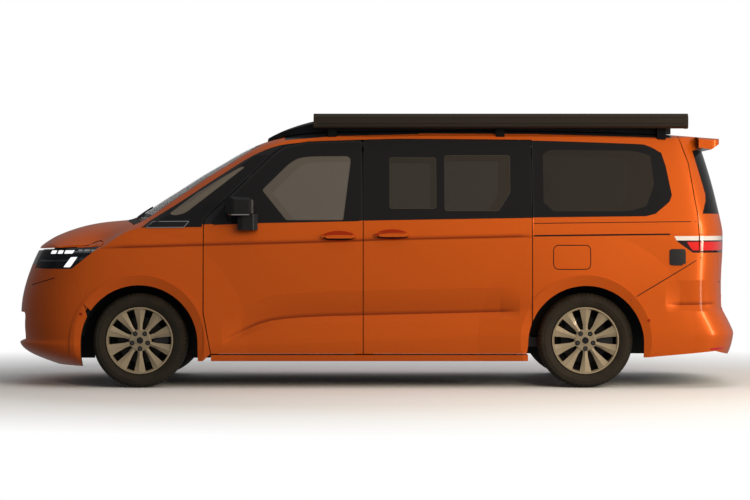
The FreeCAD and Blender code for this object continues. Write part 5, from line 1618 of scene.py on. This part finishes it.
@dataclass(frozen=True)
class Pad:
    """One upholstered pad of a seat, in metres.

    Attributes:
        name: Name of the pad within its seat.
        start: Start of its middle line, as (x, z) from the seat's front foot.
        end: End of its middle line.
        thickness: Thickness at its crown.
        width: Width across the van.
        bolster: How far the sides of its face stand out.
        channels: Places of the sewn channels across it, from -1 to 1.
    """

    name: str
    start: Point2
    end: Point2
    thickness: float
    width: float
    bolster: float = 0.0
    channels: tuple[float, ...] = ()


@dataclass(frozen=True)
class Upholstery:
    """Seats with crowned pads, sewn channels and side bolsters on plain pedestals.

    The pads stand in the room of the plain seat solids.

    Attributes:
        pads: Pads of every seat.
        seats: Solid that a seat stands for, its name, front x, middle y and width.
        cuts: Cuts across each face of a pad.
        channel: Width of a sewn channel, as a share of half a pad.
        post_radius: Radius of a head restraint's post.
    """

    pads: tuple[Pad, ...] = (
        Pad("cushion", (0.018, 0.705), (0.492, 0.690), 0.122, 0.97, 0.16, (-0.35, 0.3)),
        Pad("backrest", (0.490, 0.715), (0.604, 1.322), 0.112, 0.97, 0.18, (-0.45, 0.05, 0.55)),
        Pad("head_restraint", (0.613, 1.378), (0.619, 1.524), 0.080, 0.51))
    seats: tuple[tuple[str, str, float, float, float], ...] = (
        ("front_seats", "driver_seat", -0.560, -0.390, 0.500),
        ("front_seats", "passenger_seat", -0.560, 0.390, 0.500),
        ("rear_bench", "bench_inner_seat", 0.640, 0.040, 0.482),
        ("rear_bench", "bench_outer_seat", 0.640, 0.520, 0.482))
    cuts: int = 27
    channel: float = 0.035
    post_radius: float = 0.006

    def build(self) -> None:
        """Builds the pads, pedestals and posts of all seats."""
        for node, tag, x, y, width in self.seats:
            for pad in self.pads:
                piece = self._pad(f"{tag}_{pad.name}", pad, x, y, width)
                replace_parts(piece, node)
            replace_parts(self._pedestal(f"{tag}_pedestal", x, y, width), node)
            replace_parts(self._posts(f"{tag}_posts", x, y), node)

    def _pad(self, name: str, pad: Pad, x: float, y: float, seat_width: float) -> bpy.types.Object:
        """One crowned pad whose sides draw in between its corners.

        Args:
            name: Name of the piece.
            pad: Sizes of the pad.
            x: Front of the seat.
            y: Middle of the seat.
            seat_width: Width of the seat.

        Returns:
            The new piece.
        """
        shape = bmesh.new()
        bmesh.ops.create_cube(shape, size=2.0)
        bmesh.ops.subdivide_edges(shape, edges=shape.edges[:], cuts=self.cuts, use_grid_fill=True)
        start, end = (Vector((place[0] + x, 0.0, place[1])) for place in (pad.start, pad.end))
        along = end - start
        face = Vector((-along.z, 0.0, along.x)).normalized()
        for vertex in shape.verts:
            u, v, w = self._rounded(vertex.co)
            w = self._crown(pad, u, v, w)
            v *= 1.0 - 0.03 * (1.0 - u * u)
            u *= 1.0 - 0.02 * (1.0 - v * v)
            across = Vector((0.0, y + v * pad.width * seat_width / 2, 0.0))
            vertex.co = start + along * ((u + 1.0) / 2.0) + face * (w * pad.thickness / 2) + across
        return add_object(name, mesh_from(shape, name), Look.CLOTH, "root", smooth=True)

    @staticmethod
    def _rounded(corner: Vector) -> tuple[float, float, float]:
        """Point of a cube moved onto a block with round edges."""
        power = 6.0
        reach = sum(abs(c) ** power for c in corner) ** (1.0 / power)
        return tuple(c / reach for c in corner)

    def _crown(self, pad: Pad, u: float, v: float, w: float) -> float:
        """Height of a pad's face with its crown, bolsters and sewn channels.

        Args:
            pad: Sizes of the pad.
            u: Place along the pad, from -1 to 1.
            v: Place across it.
            w: Place through it, with the face at 1.

        Returns:
            The new place through the pad.
        """
        height = 0.84 + 0.16 * (1.0 - u * u) * (1.0 - v * v)
        side = min(1.0, max(0.0, (abs(v) - 0.62) / 0.2))
        dents = sum(math.exp(-(((u - place) / self.channel) ** 2)) for place in pad.channels) * (1.0 - side)
        if pad.channels:
            dents += math.exp(-(((abs(v) - 0.66) / self.channel) ** 2))
        if w > 0.0:
            height += pad.bolster * side * (1.0 - abs(v) ** 8) - 0.1 * min(1.0, dents)
        return w * height

    def _pedestal(self, name: str, x: float, y: float, width: float) -> bpy.types.Object:
        """Tapered seat foot with rounded corners.

        Args:
            name: Name of the piece.
            x: Front of the seat.
            y: Middle of the seat.
            width: Its width.

        Returns:
            The new piece.
        """
        shape = bmesh.new()
        rings = []
        for z, grow in ((0.402, 0.012), (0.425, 0.0), (0.560, -0.016), (0.640, -0.004)):
            low, high, half = x + 0.064 - grow, x + 0.436 + grow, width / 2 - 0.066 + grow
            outline = rounded([(low, y - half), (high, y - half), (high, y + half), (low, y + half)], 0.04, 5)
            rings.append([shape.verts.new((a, b, z)) for a, b in outline])
        for lower, upper in zip(rings, rings[1:], strict=False):
            for k in range(len(lower)):
                after = (k + 1) % len(lower)
                shape.faces.new((lower[k], lower[after], upper[after], upper[k]))
        shape.faces.new(rings[0])
        shape.faces.new(rings[-1])
        return add_object(name, mesh_from(shape, name), Look.SATIN_BLACK, "root", smooth=True)

    def _posts(self, name: str, x: float, y: float) -> bpy.types.Object:
        """Two steel posts of a head restraint.

        Args:
            name: Name of the piece.
            x: Front of the seat.
            y: Middle of the seat.

        Returns:
            The new piece.
        """
        shape = bmesh.new()
        for side in (-1, 1):
            rings = []
            for way, z in ((0.604, 1.300), (0.610, 1.395)):
                rings.append([shape.verts.new((x + way + self.post_radius * math.cos(turn),
                                               y + side * 0.05 + self.post_radius * math.sin(turn), z))
                              for turn in (k * math.tau / 12 for k in range(12))])
            for k in range(12):
                after = (k + 1) % 12
                shape.faces.new((rings[0][k], rings[0][after], rings[1][after], rings[1][k]))
            shape.faces.new(rings[0])
            shape.faces.new(rings[1])
        return add_object(name, mesh_from(shape, name), Look.BRIGHT_STEEL, "root", smooth=True)


def thicken(sheet: bpy.types.Object, thickness: float) -> None:
    """Gives a sheet a thickness on its inner side, in metres."""
    solid = sheet.modifiers.new("thickness", "SOLIDIFY")
    solid.thickness, solid.offset = thickness, -1.0


@dataclass(frozen=True)
class Outside:
    """Mirror glass, tailgate grip, what shows inside the wheels and arches, and small body panels.

    Sizes are in metres. Outlines of whole numbers are in millimetres in the side view (x, z), and the
    two edges of the bonnet's corner are (x, y, z).

    Attributes:
        maker: Maker that lays trim onto the bodywork.
        repeater: Tree that repeats the wheel bolts.
        mirror_glass: Outline seen from behind (y, z).
        gate_grip: Half width, half height and height above ground of the tailgate's grip.
        shields: Distances from the van's middle and angles of the two brake shields.
        hub: Radius, back and face of a hub cover.
        bolt: Distance from the axle, radius of the recess and depth of its ground.
        cap: Radius and face of the cap.
        arch_walls: Dark plates that stand in the wheel arches as painted shade: end of the van, distances
            from the axle, and foot of a plate.
        ledge_line: Line of the rear bumper's ledge (x, z) in the van's middle plane.
        ledge_half: Half of the ledge's width.
        ledge_bow: How far the ledge bows forward, per square metre from the middle.
    """

    maker: TrimMaker
    repeater: Repeater
    mirror_glass: Outline = ((0.992, 1.226), (0.992, 1.318), (1.096, 1.322), (1.110, 1.300), (1.108, 1.246),
                             (1.088, 1.222))
    mirror_strip: Outline = ((-1046, 1222), (-990, 1213), (-872, 1214))
    gate_grip: Point3 = (0.30, 0.013, 0.925)
    shield_radii: Point2 = (0.060, 0.213)
    shields: tuple[tuple[Point2, Point2], ...] = (((0.7705, 0.7720), (52, 308)),
                                                  ((0.7420, 0.7435), (-56, 56)))
    hub: Point3 = (0.074, 0.8935, 0.8965)
    bolt: Point3 = (0.057, 0.0175, 0.8970)
    cap: Point2 = (0.030, 0.9000)
    arch_corner: Outline = ((-2062, 606), (-2022, 606), (-1994, 584), (-2030, 530), (-2048, 508))
    beside_corner: Point2 = (-2075, 560)
    arch_walls: tuple[tuple[str, Point2, float], ...] = (("front", (0.346, 0.47), 0.195),
                                                         ("rear", (0.290, 0.47), 0.226))
    arch_wall_y: Point2 = (0.600, 0.603)
    arch_wall_top: float = 0.47
    sill_plate: Outline = ((-1200, 206), (-1115, 206), (-1115, 430), (-1200, 430))
    sill_plate_y: Point2 = (0.770, 0.773)
    lamp_gap: Outline = ((-2290, 955), (-2120, 955), (-2120, 1000), (-2290, 990))
    lamp_gap_y: Point2 = (0.550, 0.553)
    ledge_line: Outline = ((2.4975, 0.650), (2.4975, 0.600), (2.4985, 0.565), (2.5110, 0.530),
                           (2.5290, 0.496), (2.5450, 0.466))
    ledge_half: float = 0.60
    ledge_bow: float = 0.085
    lamp_edge: Edge = ((-2098, 846, 984), (-2060, 842, 985), (-2020, 842, 987), (-1990, 847, 988),
                       (-1965, 858, 989), (-1950, 880, 989), (-1938, 906, 987), (-1922, 896, 999))
    bonnet_edge: Edge = ((-2098, 796, 984), (-2060, 796, 988), (-2020, 796, 996), (-1990, 772, 1012),
                         (-1965, 756, 1023), (-1945, 756, 1029), (-1922, 790, 1024), (-1908, 806, 1027))

    def build(self) -> None:
        """Builds all of it, on both sides where there are two."""
        for side in Side:
            self._mirror(side)
            self._corner(side)
            self._arch_corner(side)
            self._plate(f"sill_closing_plate_{side.word}", flat_mm(self.sill_plate), self.sill_plate_y, side)
            self._plate(f"lamp_gap_plate_{side.word}", flat_mm(self.lamp_gap), self.lamp_gap_y, side)
            for end, x, body in (("front", VAN.front_axle_x, f"front_{side.word}_steer"),
                                 ("rear", VAN.rear_axle_x, "root")):
                for number, (depth, turn) in enumerate(self.shields, 1):
                    self._shield(f"{end}_{side.word}_brake_shield_{number}", x, side, body, depth, turn)
                self._hub(f"{end}_{side.word}", x, side)
            # Dark plates beside each tyre, put there as painted shade inside the wheel arch.
            for end, (near, far), low in self.arch_walls:
                x = VAN.front_axle_x if end == "front" else VAN.rear_axle_x
                for word, way in (("fore", -1), ("aft", 1)):
                    wall = [(x + way * near, low), (x + way * far, low), (x + way * far, self.arch_wall_top),
                            (x + way * near, self.arch_wall_top)]
                    self._plate(f"{end}_{side.word}_arch_wall_{word}", wall, self.arch_wall_y, side)
        self._ledge()
        half, rise, z = self.gate_grip
        outline = rounded([(-half, z - rise), (half, z - rise), (half, z + rise), (-half, z + rise)], 0.012)
        trim = Trim(View.REAR, ("tailgate",), proud=0.004, sunk=0.003, grid=0.05)
        self.maker.patch("tailgate_grip", outline, trim, Look.SATIN_BLACK, "tailgate")

    def _ledge(self) -> None:
        """Painted strip that closes the bumper between its upright face and its slope, bowed like them."""
        shape = bmesh.new()
        across = [self.ledge_half * (k / 12 - 1) for k in range(25)]
        rows = [[shape.verts.new((x - self.ledge_bow * y * y, y, z)) for x, z in self.ledge_line]
                for y in across]
        for row, after in zip(rows, rows[1:], strict=False):
            for k in range(len(self.ledge_line) - 1):
                shape.faces.new((row[k], after[k], after[k + 1], row[k + 1]))
        mesh = mesh_from(shape, "rear_bumper_ledge")
        thicken(add_object("rear_bumper_ledge", mesh, Look.LEDGE_PAINT, smooth=True), 0.002)

    def _mirror(self, side: Side) -> None:
        """Glass and bright strip of a door mirror."""
        door = f"front_{side.word}_door"
        outline = [(side.value * y, z) for y, z in self.mirror_glass]
        trim = Trim(View.REAR, (door,), proud=0.0012, sunk=0.002, grid=0.03)
        self.maker.patch(f"mirror_{side.word}_glass", rounded(outline, 0.012), trim, Look.CHROME, door)
        trim = Trim(view_of(side), (door,), proud=0.0015, sunk=0.003, grid=0.01)
        strip = flat_mm(self.mirror_strip)
        self.maker.ribbon(f"mirror_{side.word}_strip", strip, 0.007, trim, Look.CHROME, door)

    def _plate(self, name: str, outline: Outline, depth: Point2, side: Side,
               look: Look = Look.UNDERBODY) -> None:
        """Flat plate in the side view.

        Args:
            name: Name of the piece.
            outline: Its corners in metres (x, z).
            depth: Its two distances from the van's middle.
            side: Side of the van.
            look: Its finish.
        """
        shape = bmesh.new()
        faces = [[shape.verts.new((x, side.value * y, z)) for x, z in outline] for y in depth]
        for face in faces:
            shape.faces.new(face)
        for k in range(len(outline)):
            shape.faces.new((faces[0][k - 1], faces[0][k], faces[1][k], faces[1][k - 1]))
        add_object(name, mesh_from(shape, name), look)

    def _shield(self, name: str, axle_x: float, side: Side, body: str, depth: Point2, turn: Point2) -> None:
        """Sector of the thin dark plate behind a brake disc.

        Args:
            name: Name of the piece.
            axle_x: Place of the axle along the van.
            side: Side of the van.
            body: Body that it rides on.
            depth: Its two distances from the van's middle.
            turn: Its first and last angle in degrees.
        """
        shape = bmesh.new()
        first, last = (math.radians(angle) for angle in turn)
        steps = 48
        inner, outer = self.shield_radii
        rings: list[list[bmesh.types.BMVert]] = []
        for radius, y in ((inner, depth[0]), (outer, depth[0]), (outer, depth[1]), (inner, depth[1])):
            turns = [first + (last - first) * k / steps for k in range(steps + 1)]
            rings.append([shape.verts.new((axle_x + radius * math.cos(angle), side.value * y,
                                           VAN.tyre_radius + radius * math.sin(angle))) for angle in turns])
        for one, other in zip(rings, rings[1:] + rings[:1], strict=True):
            for k in range(steps):
                shape.faces.new((one[k], one[k + 1], other[k + 1], other[k]))
        for k in (0, -1):
            shape.faces.new([ring[k] for ring in rings])
        add_object(name, mesh_from(shape, name), Look.UNDERBODY, body, smooth=True)

    def _arch_corner(self, side: Side) -> None:
        """Painted corner between bumper and wheel flare, level with the bumper beside it."""
        x, z = self.beside_corner
        skin = abs(self.maker.bodywork.find(("front_bumper",), view_of(side), (x * MM, z * MM)).y)
        outline = flat_mm(self.arch_corner)
        self._plate(f"front_{side.word}_arch_corner", outline, (skin - 0.003, skin), side, Look.PAINT)

    @staticmethod
    def _turned(profile: Sequence[Point2], side: Side, steps: int) -> bmesh.types.BMesh:
        """Solid turned about an axle through the origin, from (radius, distance from the van's middle).

        Args:
            profile: Points of its section.
            side: Side of the van.
            steps: Flats round it.

        Returns:
            The working mesh.
        """
        shape = bmesh.new()
        rings = [[shape.verts.new((radius * math.cos(a), side.value * y, radius * math.sin(a)))
                  for a in (2 * math.pi * k / steps for k in range(steps))] for radius, y in profile]
        for one, other in zip(rings, rings[1:], strict=False):
            for k in range(steps):
                shape.faces.new((one[k], one[k - 1], other[k - 1], other[k]))
        for ring in (rings[0], rings[-1]):
            shape.faces.new(ring)
        return shape

    def _hub(self, wheel: str, axle_x: float, side: Side) -> None:
        """Hub cover of a rim with five sunk bolts in dark discs of painted shade, and a plain cap.

        Args:
            wheel: Name of the wheel.
            axle_x: Place of its axle along the van.
            side: Side of the van.
        """
        axle, body = Vector((axle_x, 0.0, VAN.tyre_radius)), f"{wheel}_wheel"
        radius, back, face = self.hub
        pitch, hole, hole_y = self.bolt
        cap, cap_y = self.cap
        cover = [(radius - 0.003, back - 0.02), (radius, back), (radius - 0.004, face)]
        ring = [(cap + 0.004, face), (cap + 0.003, face + 0.002), (cap, face + 0.0025)]
        dome = [(cap, face), (cap - 0.001, face + 0.0015), (cap * 0.6, cap_y)]
        parts = (("hub_cover", cover, Look.HUB_ALLOY), ("hub_ring", ring, Look.HUB_ALLOY),
                 ("hub_cap", dome, Look.GLOSS_BLACK))
        for word, profile, look in parts:
            shape = self._turned(profile, side, 48)
            bmesh.ops.translate(shape, verts=shape.verts, vec=axle)
            add_object(f"{wheel}_{word}", mesh_from(shape, word), look, body, smooth=True)
        # A dark disc round each bolt: painted shade that stands for its sunk hole.
        recess = [(hole, face - 0.001), (hole - 0.0005, hole_y)]
        head = [(0.0105, hole_y - 0.001), (0.0100, hole_y + 0.001), (0.006, hole_y + 0.0014)]
        for word, profile, steps, look in (("bolt_recesses", recess, 24, Look.GLOSS_BLACK),
                                           ("bolts", head, 6, Look.CAST_STEEL)):
            shape = self._turned(profile, side, steps)
            bmesh.ops.translate(shape, verts=shape.verts, vec=Vector((0.0, 0.0, -pitch)))
            self.repeater.ring(f"{wheel}_{word}", mesh_from(shape, word), BOLTS, axle, look, body)

    def _corner(self, side: Side) -> None:
        """Painted panel between headlamp, fender and bonnet, under the bonnet's corner."""
        shape = bmesh.new()
        rows = []
        for lamp, bonnet in zip(self.lamp_edge, self.bonnet_edge, strict=True):
            a, b = Vector(lamp), Vector(bonnet)
            rise = Vector((0.0, 0.0, 0.24 * (b - a).length))
            rows.append([a.lerp(b, t) + rise * t * (1 - t) for t in (k / 6 for k in range(7))])
        verts = [[shape.verts.new((p.x * MM, side.value * p.y * MM, p.z * MM)) for p in row] for row in rows]
        for row, after in zip(verts, verts[1:], strict=False):
            for k in range(6):
                shape.faces.new((row[k], row[k + 1], after[k + 1], after[k]))
        name = f"bonnet_corner_{side.word}"
        thicken(add_object(name, mesh_from(shape, name), Look.PAINT, smooth=True), 0.003)


ZONED_NODES: dict[str, PaneLook | ZoneLook] = {
    **{f"{part}_{side.word}": ZoneLook.SIDES for part in ("body_side", "sliding_door") for side in Side},
    "roof_panel": ZoneLook.SIDES,
    **{f"front_{side.word}_door": ZoneLook.SIDES for side in Side},
    "tailgate": ZoneLook.TAILGATE, "tail_lamps": ZoneLook.TAIL_LAMP, "tailgate_lamps": ZoneLook.TAIL_LAMP,
    "front_left_door_glass": PaneLook.FRONT_DOOR, "front_right_door_glass": PaneLook.FRONT_DOOR,
    "sliding_door_glass": PaneLook.SLIDING, "side_glass": PaneLook.QUARTERS,
}


def dress_solids(nodes: dict[str, bpy.types.Object]) -> None:
    """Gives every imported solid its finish.

    Args:
        nodes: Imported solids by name.
    """
    for name, node in nodes.items():
        look = ZONED_NODES.get(name) or NODE_LOOKS.get(name)
        if look is None:
            look = Look.TYRE if name.endswith("_tyre") else Look.ALLOY
        node.data.materials.clear()
        node.data.materials.append(look.material)


def build_camera() -> None:
    """Places the camera where the photograph was taken from."""
    data = bpy.data.cameras.new("photo_camera")
    data.sensor_width, data.lens = PHOTO.sensor, PHOTO.lens
    data.clip_start, data.clip_end = 0.1, 200.0
    camera = bpy.data.objects.new("photo_camera", data)
    camera.location = (0.0, -PHOTO.distance, PHOTO.height)
    camera.rotation_euler = (math.pi / 2 - PHOTO.pitch, 0.0, 0.0)
    bpy.context.scene.collection.objects.link(camera)
    bpy.context.scene.camera = camera


@dataclass(frozen=True)
class StudioLamp:
    """A soft rectangular lamp of the studio.

    Attributes:
        name: Name of the lamp.
        size: Width and height of its face.
        power: Power in watts.
        place: Where it hangs.
        target: Point that it faces.
        colour: Colour of its light.
        mirrored: Whether shiny pieces reflect it.
    """

    name: str
    size: Point2
    power: float
    place: Point3
    target: Point3
    colour: Colour = (1.0, 1.0, 1.0)
    mirrored: bool = False


WARM = (1.0, 0.86, 0.66)
STUDIO_LAMPS = (StudioLamp("overhead", (8.0, 5.0), 145.0, (1.4, -0.5, 6.0), (0.8, 0.0, 0.8)),
                StudioLamp("side", (6.0, 3.5), 500.0, (4.4, -7.6, 3.6), (1.0, 0.0, 0.9), WARM),
                StudioLamp("rear_corner", (0.7, 3.2), 95.0, (6.2, -3.4, 1.9), (2.2, -0.6, 0.9), WARM, True),
                StudioLamp("far_side", (9.0, 3.5), 120.0, (0.0, 8.0, 3.6), (0.0, 0.0, 0.9)))


def build_light(lamp: StudioLamp) -> None:
    """Hangs a lamp.

    Args:
        lamp: Its sizes and place.
    """
    data = bpy.data.lights.new(lamp.name, "AREA")
    data.color = lamp.colour
    data.shape, data.size, data.size_y, data.energy = "RECTANGLE", *lamp.size, lamp.power
    made = bpy.data.objects.new(lamp.name, data)
    made.visible_glossy = lamp.mirrored
    made.location = lamp.place
    way = Vector(lamp.target) - Vector(lamp.place)
    made.rotation_euler = way.to_track_quat("-Z", "Y").to_euler()
    bpy.context.scene.collection.objects.link(made)


def build_studio() -> None:
    """Plain soft light, a pale floor that fades into a white background, and the view settings."""
    scene = bpy.context.scene
    scene.view_settings.view_transform = "Standard"
    for lamp in STUDIO_LAMPS:
        build_light(lamp)
    world = bpy.data.worlds.new("studio")
    world.use_nodes = True
    scene.world = world
    graph = Graph(world.node_tree)
    path = graph.node("ShaderNodeLightPath")
    rays = [Sock(graph, path.outputs[name]) for name in
            ("Is Camera Ray", "Is Glossy Ray", "Is Transmission Ray")]
    seen = (rays[0] + rays[2]).clamped()
    ray = Sock(graph, graph.node("ShaderNodeTexCoord").outputs["Generated"])
    way = graph.node("ShaderNodeSeparateXYZ", {0: ray})
    ambient = graph.between(Sock(graph, way.outputs[0]), -1.0, 1.0, 0.14, 0.46)
    ambient = ambient * (1.0 - rays[1] * 0.3)
    glow = ambient + (1.0 - ambient) * seen
    backdrop = graph.node("ShaderNodeBackground", {"Color": (1.0, 1.0, 1.0), "Strength": glow})
    graph.finish(Sock(graph, backdrop.outputs[0]), "ShaderNodeOutputWorld")
    build_floor()


def draw_studio_floor(graph: Graph) -> Sock:
    """Pale floor with soft shadows, which turns to plain white away from the van."""
    x, y, _ = graph.axes()
    reach = ((x * 0.28).power(2.0) + (y * 0.34).power(2.0)).power(0.5)
    away = graph.between(reach, 0.9, 1.7)
    path = graph.node("ShaderNodeLightPath")
    camera_rays = Sock(graph, path.outputs["Is Camera Ray"])
    tone = graph.mixed(camera_rays, (0.22, 0.22, 0.22), (0.86, 0.86, 0.86))
    lit = graph.principled(Base_Color=tone, Roughness=0.75)
    plain_white = graph.node("ShaderNodeEmission", {"Color": (1.0, 1.0, 1.0), "Strength": 1.0})
    white = Sock(graph, plain_white.outputs[0])
    mixer = graph.node("ShaderNodeMixShader", {0: away * camera_rays, 1: lit, 2: white})
    return Sock(graph, mixer.outputs[0])


FLOOR_HALF = 60.0


def build_floor() -> None:
    """Wide floor under the van."""
    corners = [(x * FLOOR_HALF, y * FLOOR_HALF, 0.0) for x, y in ((-1, -1), (1, -1), (1, 1), (-1, 1))]
    mesh = bpy.data.meshes.new("studio_floor")
    mesh.from_pydata(corners, [], [(0, 1, 2, 3)])
    mesh.materials.append(Finish("studio_floor", draw_studio_floor, (0.9, 0.9, 0.9)).material())
    floor = bpy.data.objects.new("studio_floor", mesh)
    floor.visible_glossy = False
    bpy.context.scene.collection.objects.link(floor)
    floor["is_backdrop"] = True


def write_size(cad_box: Box) -> None:
    """Turns the box of the CAD model and the visual model's own box into JSON text, which is not kept.

    Args:
        cad_box: Low and high corner of the frame as it was loaded.
    """
    boxes = {"cad": cad_box, "visual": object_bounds()}
    json.dumps({name: [list(corner) for corner in box] for name, box in boxes.items()})


def main() -> None:
    """Loads the frame, dresses it and lights the studio."""
    logging.basicConfig(level=logging.INFO, format="%(name)s: %(message)s")
    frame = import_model()
    cad_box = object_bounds()
    dress_solids(frame["nodes"])
    bodywork = Bodywork(frame["nodes"])
    maker, repeater = TrimMaker(bodywork), Repeater()
    for assembly in (SideTrim(maker), Lamps(maker), Wheels(repeater), RoofTrim(bodywork, maker), Upholstery(),
                     Outside(maker, repeater)):
        before = set(bpy.data.objects.keys())
        assembly.build()
        for name in bpy.data.objects.keys():
            if name not in before:
                LOG.info("%s: %s", type(assembly).__name__, name)
    build_camera()
    build_studio()
    write_size(cad_box)


if __name__ == "__main__":
    main()
